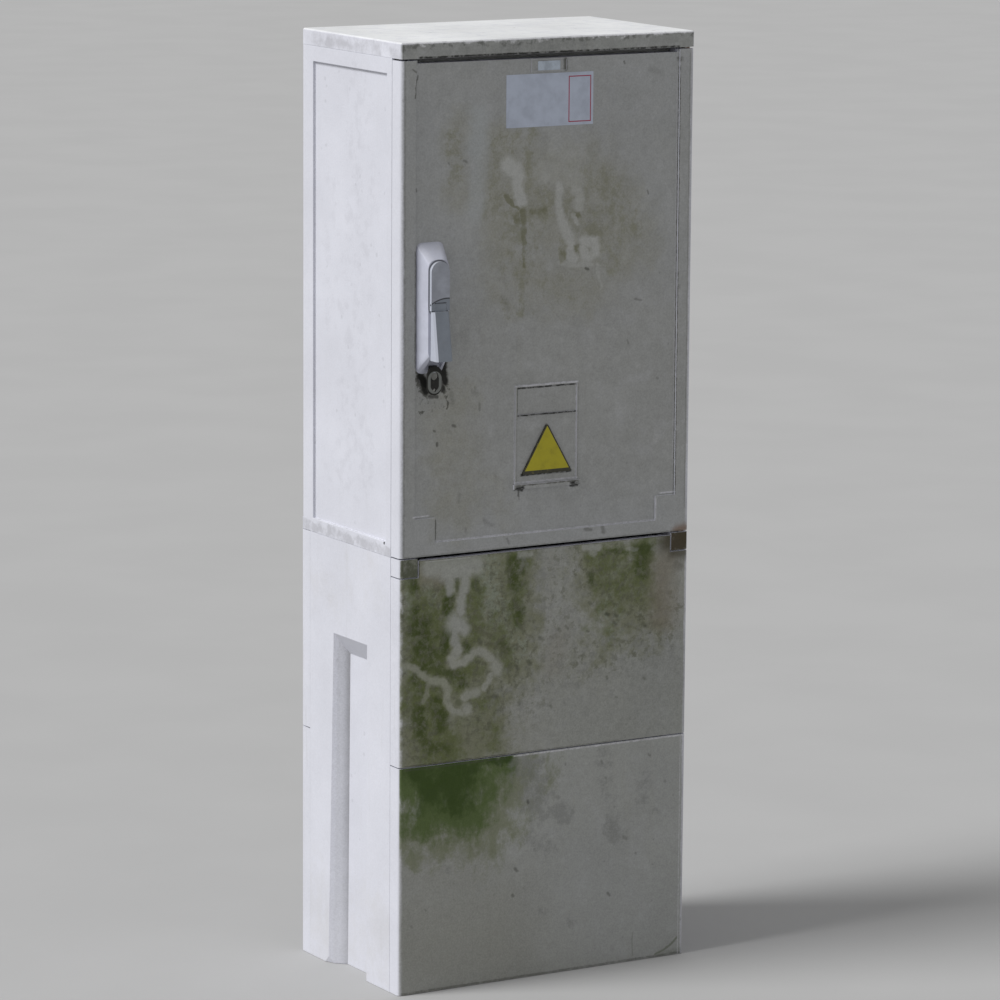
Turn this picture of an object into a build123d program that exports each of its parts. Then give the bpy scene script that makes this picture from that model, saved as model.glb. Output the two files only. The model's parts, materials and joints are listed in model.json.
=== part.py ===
from build123d import *
from math import acos, cos, pi, radians, sin, tan
import os

# Street cabinet on its pedestal, in millimetres.
# Origin: middle of the foot, on the ground. +X right, +Y to the back, +Z up, door towards -Y.

# Outside sizes
width = 460.0
depth = 275.0                # door face to the back of the lid
height = 1300.0
seam_height = 605.0          # ground to the joint of pedestal and cabinet
lid_height = 22.0
lid_bevel = 2.0
lid_overhang = 2.0           # lid behind the cabinet
cover_joint = 318.0          # joint of the two front covers
rear_joint = 325.0           # joint of the two rear panels
rear_lip = 17.0              # upper rear panel above the seam

# Mouldings
wall = 4.0                   # pedestal sides and cabinet walls
cover_skin = 4.5             # front covers and rear panels
door_skin = 3.5              # recessed field of the door
skirt_depth = 24.0           # side flanges of door and covers
skirt_wall = 3.5
corner_radius = 5.0
joint_gap = 1.5
edge_gap = 1.0
fit_gap = 0.3                # between pieces that slide or turn on flats
running_gap = 0.05           # radial, pins and shafts in their bores
peg_sides = 6                # shanks, holes and other small rounds
grommet_sides = 10

# Pedestal
return_width = 30.0
flange_width = 30.0
flange_thickness = 5.0
foot_width = 60.0
foot_thickness = 6.0
anchor_from_side = 40.0
anchor_spacing_y = 170.0
anchor_hole_radius = 7.0
channel_depth = 20.0
channel_front = -48.0
channel_back_top = 47.0
channel_back_foot = 61.0
channel_top = 473.0
channel_ramp = 29.0
channel_side_ramp = 12.0

# Cable rail and clamps
cable_rail_drop = 102.0       # below the seam
cable_rail_size = 30.0
cable_rail_wall = 3.0
cable_rail_front = 30.0
cable_rail_slot = 14.0
clamp_width = 52.0
clamp_height = 24.0
clamp_depth = 22.0
clamp_bore_radius = 15.0
clamp_from_side = 120.0
clamp_split = 1.0
clamp_bolt_radius = 3.0
clamp_bolt_spacing = 42.0

# Cabinet
lug_width = 28.0
lug_height = 25.0
lug_web = 18.0
window_front = 14.0          # recessed side panel: band width at each edge
window_back = 28.5
window_low = 19.5
window_high = 21.5
window_lap = 8.0
floor_thickness = 5.0
entry_from_side = 80.0
entry_depth = 140.0
entry_rim = 12.0
entry_plate_thickness = 3.0
grommet_spread = 0.633       # outer grommets out from the middle
grommet_radius = 24.0
wall_flange = 20.0

# Sealing frame behind the door
frame_opening_side = 29.5    # in from each side
frame_opening_low = 27.0     # above the seam
frame_opening_high = 26.0    # below the lid
collar_wall = 3.5
collar_depth = 13.5
gasket_width = 8.0

# Door
door_bottom_gap = 2.0
door_top_gap = 6.5
pad_gap = 2.5
pad_width = 26.0
field_recess = 2.5
field_rim = 23.0
field_foot = 18.0
block_width = 54.5
block_height = 52.0
pivot_from_side = 9.0
pivot_from_face = 10.0
hinge_relief = 3.0
hinge_boss_radius = 7.5
hinge_boss_length = 24.0
hinge_pin_radius = 4.0
hinge_pin_depth = 19.0
hinge_collar_radius = 7.0
rib_height = 7.0
rib_thickness = 3.0
rib_from_side = 70.0
rib_offset = 30.0            # away from the lock
plate_frame_width = 100.0
plate_frame_height = 137.0
plate_frame_level = 85.0     # above the door's lower edge
plate_frame_rib = 2.5
plate_frame_relief = 1.5
plate_frame_band = 40.0
plate_ledge_height = 5.0
plate_ledge_relief = 4.0
plate_ledge_overhang = 2.5
number_frame_width = 57.0
number_frame_height = 18.0
number_frame_drop = 0.5      # below the door's upper edge
number_frame_rib = 2.0
number_frame_relief = 1.2
triangle_side = 80.0
triangle_level = 14.0        # above the plate frame's foot
triangle_thickness = 2.5
triangle_corner = 2.5

# Swing handle
handle_from_side = 46.0
handle_rise = 5.25           # middle of the handle above the door's
handle_length = 177.0
handle_base_width = 42.0
handle_face_width = 32.0
handle_slope = 21.0
handle_stand = 24.5
handle_base_corner = 8.0
handle_face_corner = 11.0
hub_rise = 51.5              # above the handle's middle
hub_radius = 14.0
hub_thickness = 5.0
shaft_radius = 6.0
shaft_square = 8.0           # spindle through the pinion
shaft_screw_radius = 2.0
shaft_washer_radius = 7.0
lever_pivot_rise = 7.5
lever_drop = 67.5
lever_width = 25.0
lever_bevel = 2.5
lever_stand = 43.0
lever_shell = 2.5
lever_rise = 3.0             # grip's head above the hub
lever_pin_radius = 1.4
ear_reach = 8.0
shoulder_reach = 9.0
tongue_width = 17.4
pocket_width = 24.0
pocket_height = 30.0
pocket_depth = 7.0
eye_width = 22.0
eye_length = 40.0
eye_lap = 12.0               # above the housing's lower end
eye_thickness = 3.0
eye_hole_radius = 5.5
eye_small_radius = 2.5

# Lock: pinion on the handle shaft, one rack on each rod
rod_travel = 14.0            # over a quarter turn
pinion_teeth = 12
pressure_angle = 20.0
tooth_backlash = 0.5
tooth_addendum = 0.75        # in modules
tooth_dedendum = 1.15
pinion_hub_radius = 7.5
rod_width = 12.0
rod_thickness = 4.0
rod_spread = 4.0             # centre of each rod from the handle shaft
rod_plane = 2.0              # rods behind the sealing frame
rod_run_out = 1.5
rod_short = 0.8              # rod ends short of the frame's edge
rack_body = 4.0
rack_reach = 22.0
guide_wall = 3.0
guide_height = 12.0
lock_base_height = 60.0
lock_base_thickness = 3.0
bearing_radius = 9.5
keeper_width = 30.0
guide_shares = (0.35, 0.88)  # from the end of a rod's link to the frame
keeper_height = 16.0
keeper_thickness = 1.5

# Equipment
plate_from_side = 50.0
plate_from_floor = 45.0
plate_from_lid = 53.0
plate_thickness = 4.0
plate_stand = 31.5
standoff_radius = 8.0
rail_height = 35.0
rail_depth = 7.5
rail_sheet = 1.2
rail_from_side = 70.0
upper_rail_share = 29 / 38   # up the mounting plate
lower_rail_share = 0.36
module = 18.0
switch_modules = 3
switch_start = 10.0          # from the rail's left end
switch_toggle_width = 40.0
breaker_start = 82.0
breaker_toggle_width = 9.0
fuse_start = 160.0
contactor_start = 250.0
case_height = 85.0
case_shoulder = 44.0
case_nose = 60.0
nose_height = 45.0
toggle_radius = 8.0
drum_sides = 16
toggle_reach = 17.0
toggle_thickness = 5.0
toggle_angle = 35.0
toggle_gap = 0.4
carrier_radius = 38.0
carrier_width = 15.4
carrier_depth = 17.0
carrier_proud = 6.0
carrier_drop = 20.0
terminal_pitch = 10.0
terminal_count = 8
terminal_height = 46.0
terminal_depth = 38.0
bar_from_side = 120.0
bar_height = 16.0
bar_thickness = 6.0
bar_share = 0.114
bar_support = 36.0
bar_screw_pitch = 26.0

# Planes that the pieces share
x_side = width / 2
y_face = -depth / 2
y_lid_back = depth / 2
y_back = y_lid_back - lid_overhang
y_pedestal_back = y_back + cover_skin
y_side_front = y_face + skirt_depth + edge_gap
y_pedestal_side_back = y_pedestal_back - skirt_depth - edge_gap
y_frame_back = y_side_front + wall
z_lid = height - lid_height
z_lug = seam_height - lug_height
cable_rail_height = seam_height - cable_rail_drop
x_leg = x_side - cover_skin - edge_gap / 2
x_wall_inside = x_side - wall
z_floor = seam_height + floor_thickness
z_opening_low = seam_height + frame_opening_low
z_opening_high = z_lid - frame_opening_high
x_opening = x_side - frame_opening_side
y_collar = y_side_front - collar_depth
z_door_low = seam_height + door_bottom_gap
z_door_high = z_lid - door_top_gap
y_field = y_face + field_recess
y_door_inside = y_field + door_skin
x_pivot = x_side - pivot_from_side
y_pivot = y_face + pivot_from_face
y_handle_face = y_field - handle_stand
x_anchor = x_side - anchor_from_side
handle_x = -(x_side - handle_from_side)
handle_middle = (z_door_low + z_door_high) / 2 + handle_rise
handle_low = handle_middle - handle_length / 2
handle_high = handle_middle + handle_length / 2
hub_height = handle_middle + hub_rise
lever_pivot_height = handle_middle + lever_pivot_rise
lever_low = handle_middle - lever_drop
eye_high = handle_low + eye_lap
eye_low = eye_high - eye_length
plate_frame_low = z_door_low + plate_frame_level
number_frame_top = z_door_high - number_frame_drop
triangle_low = plate_frame_low + triangle_level
plate_low = z_floor + plate_from_floor
plate_high = z_lid - plate_from_lid
upper_rail_height = plate_low + upper_rail_share * (plate_high - plate_low)
lower_rail_height = plate_low + lower_rail_share * (plate_high - plate_low)
bar_level = plate_low + bar_share * (plate_high - plate_low)
x_plate = x_side - plate_from_side
x_rail = x_side - rail_from_side
x_bar = x_side - bar_from_side
y_lever_under = y_handle_face - fit_gap
y_hub_front = y_lever_under - hub_thickness
y_lever_pivot = y_lever_under - hub_thickness / 2
y_rods = y_frame_back + rod_plane
y_pinion_front = y_rods - 3.5
y_pinion_back = y_rods + rod_thickness - fit_gap
y_mounting_plate = y_back - wall - plate_stand - plate_thickness
y_rail = y_mounting_plate - rail_depth
pitch_radius = rod_travel / (pi / 2)
tooth_module = 2 * pitch_radius / pinion_teeth


def block(x, y, z):
    """Box between (low, high) pairs."""
    (x0, x1), (y0, y1), (z0, z1) = sorted(x), sorted(y), sorted(z)
    return Pos((x0 + x1) / 2, (y0 + y1) / 2, (z0 + z1) / 2) * Box(x1 - x0, y1 - y0, z1 - z0)


def round_x(x, y, z, radius):
    """Cylinder along X between the pair x."""
    return Pos(sum(x) / 2, y, z) * Rot(0, 90, 0) * Cylinder(radius, abs(x[1] - x[0]))


def round_y(x, y, z, radius):
    """Cylinder along Y between the pair y."""
    return Pos(x, sum(y) / 2, z) * Rot(90, 0, 0) * Cylinder(radius, abs(y[1] - y[0]))


def round_z(x, y, z, radius):
    """Cylinder along Z between the pair z."""
    return Pos(x, y, sum(z) / 2) * Cylinder(radius, abs(z[1] - z[0]))


def peg_y(x, y, z, radius, sides=peg_sides):
    """Many-sided round along Y between the pair y."""
    return Pos(x, max(y), z) * Rot(90, 0, 0) * extrude(RegularPolygon(radius, sides), abs(y[1] - y[0]))


def peg_z(x, y, z, radius, sides=peg_sides):
    """Many-sided round along Z between the pair z."""
    return Pos(x, y, min(z)) * extrude(RegularPolygon(radius, sides), abs(z[1] - z[0]))


def peg_x(x, y, z, radius, sides=peg_sides):
    """Many-sided round along X between the pair x."""
    return Pos(min(x), y, z) * Rot(0, 90, 0) * extrude(RegularPolygon(radius, sides), abs(x[1] - x[0]))


def prism_x(outline, x):
    """Outline of (y, z) points, between the pair x."""
    face = Plane.YZ.offset(min(x)) * make_face(Polyline(*outline, close=True))
    return extrude(face, abs(x[1] - x[0]))


def prism_y(outline, y):
    """Outline of (x, z) points, between the pair y."""
    face = Plane.XZ.offset(-max(y)) * make_face(Polyline(*outline, close=True))
    return extrude(face, abs(y[1] - y[0]))


def prism_z(outline, z):
    """Outline of (x, y) points, between the pair z."""
    face = Plane.XY.offset(min(z)) * make_face(Polyline(*outline, close=True))
    return extrude(face, abs(z[1] - z[0]))


def ring_y(half_x, low, high, rib, y):
    """Rectangular ring around the middle plane, its outer edge at half_x, low and high."""
    outer = block((-half_x, half_x), y, (low, high))
    inner = block((-half_x + rib, half_x - rib), (min(y) - 1, max(y) + 1), (low + rib, high - rib))
    return outer - inner


def upright_edges(shape, x, y):
    """Vertical edges at plus and minus x, at y."""
    near = 0.01
    return [edge for edge in shape.edges().filter_by(Axis.Z)
            if abs(abs(edge.center().X) - x) < near and abs(edge.center().Y - y) < near]


def hex_bolt(head, shank, head_radius, shank_radius, place):
    """Hexagon-headed bolt along +Z: head and shank are (low, high) pairs."""
    head_part = Pos(0, 0, min(head)) * extrude(RegularPolygon(head_radius, 6), head[1] - head[0])
    return place * (head_part + peg_z(0, 0, shank, shank_radius))


def group(*solids):
    return Compound(children=list(solids))


def save(name, shape):
    export_step(shape, f"parts/{name}.step")


# Pedestal

def channel(grow, foot):
    """Recess pressed into a pedestal side, open at the foot; grow gives its inner skin."""
    front = channel_front - grow
    top = channel_top + grow
    outer = [(front, foot), (channel_back_foot + grow, foot), (channel_back_top + grow, top), (front, top)]
    slant = channel_side_ramp
    inner = [(front + slant, foot), (channel_back_foot + grow - channel_depth, foot),
             (channel_back_top + grow - slant, top - channel_ramp), (front + slant, top - channel_ramp)]
    mouth = Plane.YZ.offset(-x_side) * make_face(Polyline(*outer, close=True))
    bed = Plane.YZ.offset(-x_side + channel_depth + grow) * make_face(Polyline(*inner, close=True))
    return loft([mouth.face(), bed.face()], ruled=True)


def stepped_edge(y_edge, y_seat, inward, top):
    """Vertical edge of a pedestal side: a step behind the cover's flange and a return that seats the cover."""
    x_step = (-x_side, -x_leg + wall)
    step = block(x_step, (y_edge, y_edge + inward * wall), (0, seam_height))
    leg = block((-x_leg, -x_leg + wall), (y_seat, y_edge + inward * wall), (0, top))
    seat = block((-x_leg, -x_leg + return_width), (y_seat, y_seat + inward * wall), (0, top))
    return step + leg + seat


def pedestal_side():
    side = block((-x_side, -x_wall_inside), (y_side_front, y_pedestal_side_back), (0, seam_height))
    side += stepped_edge(y_side_front, y_face + cover_skin, 1, z_lug - edge_gap)
    side += stepped_edge(y_pedestal_side_back, y_back, -1, seam_height)
    y_flange = (y_side_front + wall, y_pedestal_side_back - wall)
    side += block((-x_wall_inside, -x_wall_inside + flange_width), y_flange,
                  (seam_height - flange_thickness, seam_height))
    side += block((-x_wall_inside, -x_wall_inside + foot_width), y_flange, (0, foot_thickness))
    side += channel(wall, 0)
    side -= channel(0, 0)
    for y in (-anchor_spacing_y / 2, anchor_spacing_y / 2):
        side -= round_z(-x_anchor, y, (-1, foot_thickness + 1), anchor_hole_radius)
    side -= Compound(cover_screws(running_gap))
    return side - section_bolt_holes(seam_height - flange_thickness, seam_height)


def cover(y_outer, z, side_top, inward):
    """Front or rear cover: a plate with side flanges, and lips between the pedestal's returns."""
    y_plate = (y_outer, y_outer + inward * cover_skin)
    y_flange = (y_outer, y_outer + inward * skirt_depth)
    shell = block((-x_side, x_side), y_plate, z)
    for side in (-1, 1):
        shell += block((side * x_side, side * (x_side - cover_skin)), y_flange, (z[0], side_top))
    shell = fillet(upright_edges(shell, x_side, y_outer), corner_radius)
    x_lip = x_leg - return_width - joint_gap
    y_lip = (y_outer + inward * cover_skin, y_outer + inward * skirt_depth / 2)
    for z_lip in ((z[0], z[0] + cover_skin), (side_top - cover_skin, side_top)):
        shell += block((-x_lip, x_lip), y_lip, z_lip)
    return shell - Compound(cover_screws(running_gap))


def upper_front_cover():
    top = seam_height - edge_gap * 3
    shell = cover(y_face, (cover_joint + joint_gap / 2, top), top, 1)
    for side in (-1, 1):
        x_notch = (side * (x_side + 1), side * (x_side - lug_width - joint_gap))
        shell -= block(x_notch, (y_face - 1, y_face + skirt_depth + 1), (z_lug - joint_gap, top + 1))
    return shell


def cover_screws(grow=0.0):
    """Screws from inside the pedestal, through its returns and into each cover."""
    x = x_leg - return_width / 2
    shank = (-cover_skin + 1 - grow, wall)
    screws = []
    heights = (cover_joint / 3, (cover_joint + seam_height) / 2)
    for side in (-1, 1):
        for z in heights:
            front = Pos(side * x, y_face + cover_skin, z) * Rot(-90, 0, 0)
            rear = Pos(side * x, y_back, z) * Rot(90, 0, 0)
            for place in (front, rear):
                screws.append(hex_bolt((wall, wall + 4), shank, 5 - grow, 2.5 + grow, place))
    return screws


# Cable rail and clamps

def cable_rail():
    """Open C-rail across the pedestal, its slot towards the door."""
    half = cable_rail_size / 2
    z = (cable_rail_height - half, cable_rail_height + half)
    x = (-x_wall_inside, x_wall_inside)
    y = (cable_rail_front, cable_rail_front + cable_rail_size)
    rail = block(x, y, z)
    inside = (z[0] + cable_rail_wall, z[1] - cable_rail_wall)
    rail -= block((x[0] - 1, x[1] + 1), (y[0] + cable_rail_wall, y[1] - cable_rail_wall), inside)
    slot = (cable_rail_height - cable_rail_slot / 2, cable_rail_height + cable_rail_slot / 2)
    return rail - block((x[0] - 1, x[1] + 1), (y[0] - 1, y[0] + cable_rail_wall + 1), slot)


def clamp_places():
    return [clamp_from_side - x_side, 0, x_side - clamp_from_side]


def cable_clamps():
    """Two-part saddles around vertical cables."""
    y_middle = cable_rail_front - clamp_depth - clamp_split / 2
    z = (cable_rail_height - clamp_height / 2, cable_rail_height + clamp_height / 2)
    halves = []
    for x in clamp_places():
        bore = round_z(x, y_middle, (z[0] - 1, z[1] + 1), clamp_bore_radius)
        x_clamp = (x - clamp_width / 2, x + clamp_width / 2)
        for y in ((cable_rail_front - clamp_depth, cable_rail_front),
                  (y_middle - clamp_split / 2 - clamp_depth, y_middle - clamp_split / 2)):
            half = block(x_clamp, y, z) - bore
            for side in (-1, 1):
                x_bolt = x + side * clamp_bolt_spacing / 2
                half -= peg_y(x_bolt, (y[0] - 1, y[1] + 1), cable_rail_height, clamp_bolt_radius + fit_gap)
            halves.append(half)
    return halves


def clamp_bolts():
    """Bolts through both saddles; the square heads sit behind the rail's lips."""
    y_front = cable_rail_front - 2 * clamp_depth - clamp_split
    bolts = []
    for x in clamp_places():
        for side in (-1, 1):
            place = Pos(x + side * clamp_bolt_spacing / 2, y_front, cable_rail_height) * Rot(-90, 0, 0)
            reach = 2 * clamp_depth + clamp_split + cable_rail_wall
            bolt = hex_bolt((-4, 0), (-4, reach + 4), 6, clamp_bolt_radius, place)
            bolt += place * block((-8, 8), (-9, 9), (reach, reach + 4))
            bolts.append(bolt)
    return bolts


# Cabinet

def cabinet_wall():
    """Left wall: a frame band with the panel set back, and flanges for the lid and the rear wall."""
    band = block((-x_side, -x_wall_inside), (y_side_front, y_back), (seam_height, z_lid))
    y_window = (y_side_front + window_front, y_back - window_back)
    z_window = (seam_height + window_low, z_lid - window_high)
    band -= block((-x_side - 1, -x_wall_inside + 1), y_window, z_window)
    panel = block((-x_wall_inside, -x_wall_inside + wall), (y_window[0] - window_lap, y_window[1] + window_lap),
                  (z_window[0] - window_lap, z_window[1] + window_lap))
    x_flange = (-x_wall_inside, -x_wall_inside + wall_flange)
    top = block(x_flange, (y_frame_back, y_back - wall), (z_lid - wall, z_lid))
    rear = block(x_flange, (y_back - 2 * wall, y_back - wall), (z_floor + 2, z_lid - wall))
    side = band + panel + top + rear
    for screw in lid_screws(fit_gap):
        side -= screw
    for screw in wall_screws(fit_gap):
        side -= screw
    return side


def rear_wall():
    shell = block((-x_wall_inside, x_wall_inside), (y_back - wall, y_back), (seam_height, z_lid))
    for screw in wall_screws(fit_gap) + plate_bolts(fit_gap):
        shell -= screw
    return shell


def wall_screw_heights():
    return [seam_height + 60, (seam_height + z_lid) / 2, z_lid - 60]


def wall_screws(grow=0.0):
    """Screws from inside, through the side walls' rear flanges into the rear wall."""
    x = x_wall_inside - wall_flange / 2
    y = y_back - 2 * wall
    screws = []
    for side in (-1, 1):
        for z in wall_screw_heights():
            place = Pos(side * x, y, z) * Rot(90, 0, 0)
            screws.append(hex_bolt((0, 4), (-2 * wall + 1, 0), 5 - grow, 2.5 + grow, place))
    return screws


def lid_screws(grow=0.0):
    """Screws from inside the cabinet, up through the side walls' top flanges into the lid's bosses."""
    x = x_wall_inside - wall_flange / 2
    screws = []
    for side in (-1, 1):
        for y in (y_frame_back + 20, y_back - wall - 20):
            place = Pos(side * x, y, z_lid - wall) * Rot(180, 0, 0)
            screws.append(hex_bolt((0, 4), (-wall - 12, 0), 5 - grow, 2.5 + grow, place))
    return screws


def section_bolt_places():
    x = x_wall_inside - flange_width / 2
    return [(side * x, y) for side in (-1, 1) for y in (-75.0, 85.0)]


def section_bolt_holes(low, high):
    holes = [peg_z(x, y, (low - 1, high + 1), 5 + fit_gap) for x, y in section_bolt_places()]
    return Compound(holes)


def section_bolts():
    """Bolts that hold the cabinet's floor on the pedestal's top flanges, with their nuts."""
    pieces = []
    low = seam_height - flange_thickness
    for x, y in section_bolt_places():
        pieces.append(hex_bolt((z_floor, z_floor + 6), (low - 12, z_floor), 9, 5, Pos(x, y, 0)))
        nut = Pos(x, y, low - 8) * extrude(RegularPolygon(9, 6), 8)
        pieces.append(nut - peg_z(x, y, (low - 9, low + 1), 5 + running_gap))
    return pieces


def cabinet_floor():
    """Floor with a rimmed cable opening; its two front lugs show below the door, the right one holds a pin."""
    floor = block((-x_wall_inside, x_wall_inside), (y_frame_back, y_back - wall), (seam_height, z_floor))
    half_x = x_side - entry_from_side
    half_y = entry_depth / 2
    rim = z_floor + entry_rim
    floor += block((-half_x - wall, half_x + wall), (-half_y - wall, half_y + wall), (z_floor, rim))
    floor -= block((-half_x, half_x), (-half_y, half_y), (seam_height - 1, rim + 1))
    x_inner = x_side - lug_width
    for side in (-1, 1):
        y_lug = (y_face, y_side_front - edge_gap / 2)
        lug = block((side * x_side, side * x_inner), y_lug, (z_lug, seam_height))
        lug = fillet(upright_edges(lug, x_side, y_face), corner_radius)
        web = block((side * x_inner, side * (x_inner + lug_web)), (y_lug[1], y_frame_back), (z_lug, z_floor))
        floor += lug + web
    floor -= peg_z(x_pivot, y_pivot, (seam_height - hinge_pin_depth, seam_height + 1), hinge_pin_radius)
    return floor - section_bolt_holes(seam_height, z_floor)


def entry_plate():
    half_x = x_side - entry_from_side + wall
    half_y = entry_depth / 2 + wall
    z = (z_floor + entry_rim, z_floor + entry_rim + entry_plate_thickness)
    plate = block((-half_x, half_x), (-half_y, half_y), z)
    for x in grommet_places():
        plate -= peg_z(x, 0, (z[0] - 1, z[1] + 1), grommet_radius, grommet_sides)
    return plate


def grommet_places():
    pitch = (x_side - entry_from_side) * grommet_spread
    return [-pitch, 0, pitch]


def cable_grommets():
    """Closed rubber grommets, each a stepped dome seated on the entry plate."""
    low = z_floor + entry_rim
    top = low + entry_plate_thickness
    neck = grommet_radius - fit_gap / 2
    grommets = []
    for x in grommet_places():
        dome = peg_z(x, 0, (low - 4, top), neck, grommet_sides)
        for z, radius in (((top, top + 2), neck + 4), ((top + 2, top + 8), 14)):
            dome += peg_z(x, 0, z, radius, grommet_sides)
        dome -= peg_z(x, 0, (low - 5, top), neck - 2, grommet_sides)
        grommets.append(dome - peg_z(x, 0, (top - 1, top + 4), 12, grommet_sides))
    return grommets


def door_frame():
    """Frame between the side walls; the gasket closes on the collar around its opening."""
    plate = block((-x_wall_inside, x_wall_inside), (y_side_front, y_frame_back), (z_floor, z_lid))
    x = x_opening + collar_wall
    collar = block((-x, x), (y_collar, y_side_front), (z_opening_low - collar_wall, z_opening_high + collar_wall))
    opening = block((-x_opening, x_opening), (y_collar - 1, y_frame_back + 1), (z_opening_low, z_opening_high))
    return plate + collar - opening


def lid():
    """Flat lid, hollow below, with bosses for the lid screws and the upper hinge pin."""
    shell = block((-x_side, x_side), (y_face, y_lid_back), (z_lid, height))
    shell = chamfer(shell.edges().filter_by(Axis.Z) + shell.edges().group_by(Axis.Z)[-1], lid_bevel)
    x = x_wall_inside
    shell -= block((-x, x), (y_face + wall, y_lid_back - wall), (z_lid - 1, height - wall))
    x_boss = x_wall_inside - wall_flange / 2
    for side in (-1, 1):
        for y in (y_frame_back + 20, y_back - wall - 20):
            shell += block((side * x_boss - 8, side * x_boss + 8), (y - 8, y + 8), (z_lid, height - wall / 2))
        shell += block((side * (x_pivot - hinge_boss_radius), side * (x_pivot + hinge_boss_radius)),
                       (y_pivot - hinge_boss_radius, y_pivot + hinge_boss_radius), (z_lid, height - wall / 2))
    for screw in lid_screws(fit_gap):
        shell -= screw
    return shell - peg_z(x_pivot, y_pivot, (z_lid - 1, z_lid + hinge_pin_depth - 3), hinge_pin_radius)


# Door

def door_shell():
    """Moulded door: rim with stepped lower corners around a recessed field, side flanges and hinge bosses."""
    shell = block((-x_side, x_side), (y_face, y_face + skirt_depth), (z_door_low, z_door_high))
    for side in (-1, 1):
        shell += block((side * x_side, side * (x_side - pad_width)), (y_face, y_face + skirt_depth),
                       (z_door_high, z_lid - pad_gap))
    shell = fillet(upright_edges(shell, x_side, y_face), corner_radius)
    x_inside = x_side - skirt_wall
    shell -= block((-x_inside, x_inside), (y_door_inside, y_face + skirt_depth + 1),
                   (z_door_low + skirt_wall, z_door_high - skirt_wall))
    shell += peg_z(x_pivot, y_pivot, (z_door_low, z_door_low + hinge_boss_length), hinge_boss_radius, 12)
    shell += peg_z(x_pivot, y_pivot, (z_lid - pad_gap - hinge_boss_length, z_lid - pad_gap), hinge_boss_radius, 12)
    shell -= field_cut()
    shell -= block((x_pivot - hinge_boss_radius - 2, x_side + 1),
                   (y_face + skirt_depth - hinge_relief, y_face + skirt_depth + 1),
                   (z_door_low - 1, z_lid))
    bore = hinge_pin_radius + running_gap
    shell -= round_z(x_pivot, y_pivot, (z_door_low - 1, z_door_low + hinge_pin_depth + 1), bore)
    shell -= round_z(x_pivot, y_pivot, (z_lid - pad_gap - hinge_pin_depth - 1, z_lid), bore)
    for share in (0.27, 0.5, 0.73):
        z = z_door_low + share * (z_door_high - z_door_low)
        x_rib = (rib_from_side + rib_offset - x_side, x_side - rib_from_side + rib_offset)
        shell += block(x_rib, (y_door_inside, y_door_inside + rib_height), (z, z + rib_thickness))
    shell += plate_frame() + number_frame()
    return shell - round_y(handle_x, (y_field - 1, y_door_inside + 1), hub_height, shaft_radius + running_gap)


def field_cut():
    """The recessed field, open at the top edge."""
    x_rim = x_side - field_rim
    x_block = x_side - block_width
    top = z_lid
    foot = z_door_low + field_foot
    shoulder = z_door_low + block_height
    outline = [(-x_rim, top), (-x_rim, shoulder), (-x_block, shoulder), (-x_block, foot),
               (x_block, foot), (x_block, shoulder), (x_rim, shoulder), (x_rim, top)]
    return prism_y(outline, (y_face - 1, y_field))


def plate_frame():
    """Raised ribs that frame the bare name band and the triangular plate, with a ledge below."""
    half = plate_frame_width / 2
    top = plate_frame_low + plate_frame_height
    y = (y_field - plate_frame_relief, y_field)
    frame = ring_y(half, plate_frame_low, top, plate_frame_rib, y)
    band = top - plate_frame_band
    frame += block((-half, half), y, (band - plate_frame_rib, band))
    ledge = half + plate_ledge_overhang
    frame += block((-ledge, ledge), (y_field - plate_ledge_relief, y_field),
                   (plate_frame_low - plate_ledge_height, plate_frame_low + plate_frame_rib / 2))
    return frame


def number_frame():
    low = number_frame_top - number_frame_height
    y = (y_field - number_frame_relief, y_field)
    return ring_y(number_frame_width / 2, low, number_frame_top, number_frame_rib, y)


def triangle_plate():
    rise = triangle_side * sin(radians(60))
    outline = [(-triangle_side / 2, triangle_low), (triangle_side / 2, triangle_low), (0, triangle_low + rise)]
    plate = prism_y(outline, (y_field - triangle_thickness, y_field))
    return fillet(plate.edges().filter_by(Axis.Y), triangle_corner)


def door_gasket():
    x = x_opening + collar_wall / 2 + gasket_width / 2
    low = z_opening_low - collar_wall / 2 - gasket_width / 2
    high = z_opening_high + collar_wall / 2 + gasket_width / 2
    return ring_y(x, low, high, gasket_width, (y_door_inside, y_collar))


def hinge_pin(end, rest, gap, depth):
    """Pin from its seat at rest, with a collar that fills most of the gap to the door."""
    way = 1 if end > rest else -1
    pin = round_z(x_pivot, y_pivot, (rest, end), hinge_pin_radius)
    pin += peg_z(x_pivot, y_pivot, (rest - way * (depth - 1), rest), hinge_pin_radius)
    return pin + peg_z(x_pivot, y_pivot, (rest, rest + way * (gap - fit_gap)), hinge_collar_radius)


# Swing handle

def housing_outline(half_width, low, high, corner, y):
    """Corners of an upright rectangle around the handle's middle, each cut in three short steps."""
    points = []
    for side, end, start in ((1, 1, 0), (-1, 1, 90), (-1, -1, 180), (1, -1, 270)):
        x = handle_x + side * (half_width - corner)
        z = (high - corner) if end > 0 else (low + corner)
        for step in range(4):
            angle = radians(start + step * 30)
            points.append((x + corner * cos(angle), z + corner * sin(angle)))
    return [Vector(x, y, z) for x, z in points]


def frustum(base, face):
    """Solid between two outlines whose matching edges are parallel."""
    sides = [Face(Wire.make_polygon([base[i - 1], base[i], face[i], face[i - 1]])) for i in range(len(base))]
    ends = [Face(Wire.make_polygon(outline)) for outline in (base, face)]
    return Solid(Shell(sides + ends))


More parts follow.
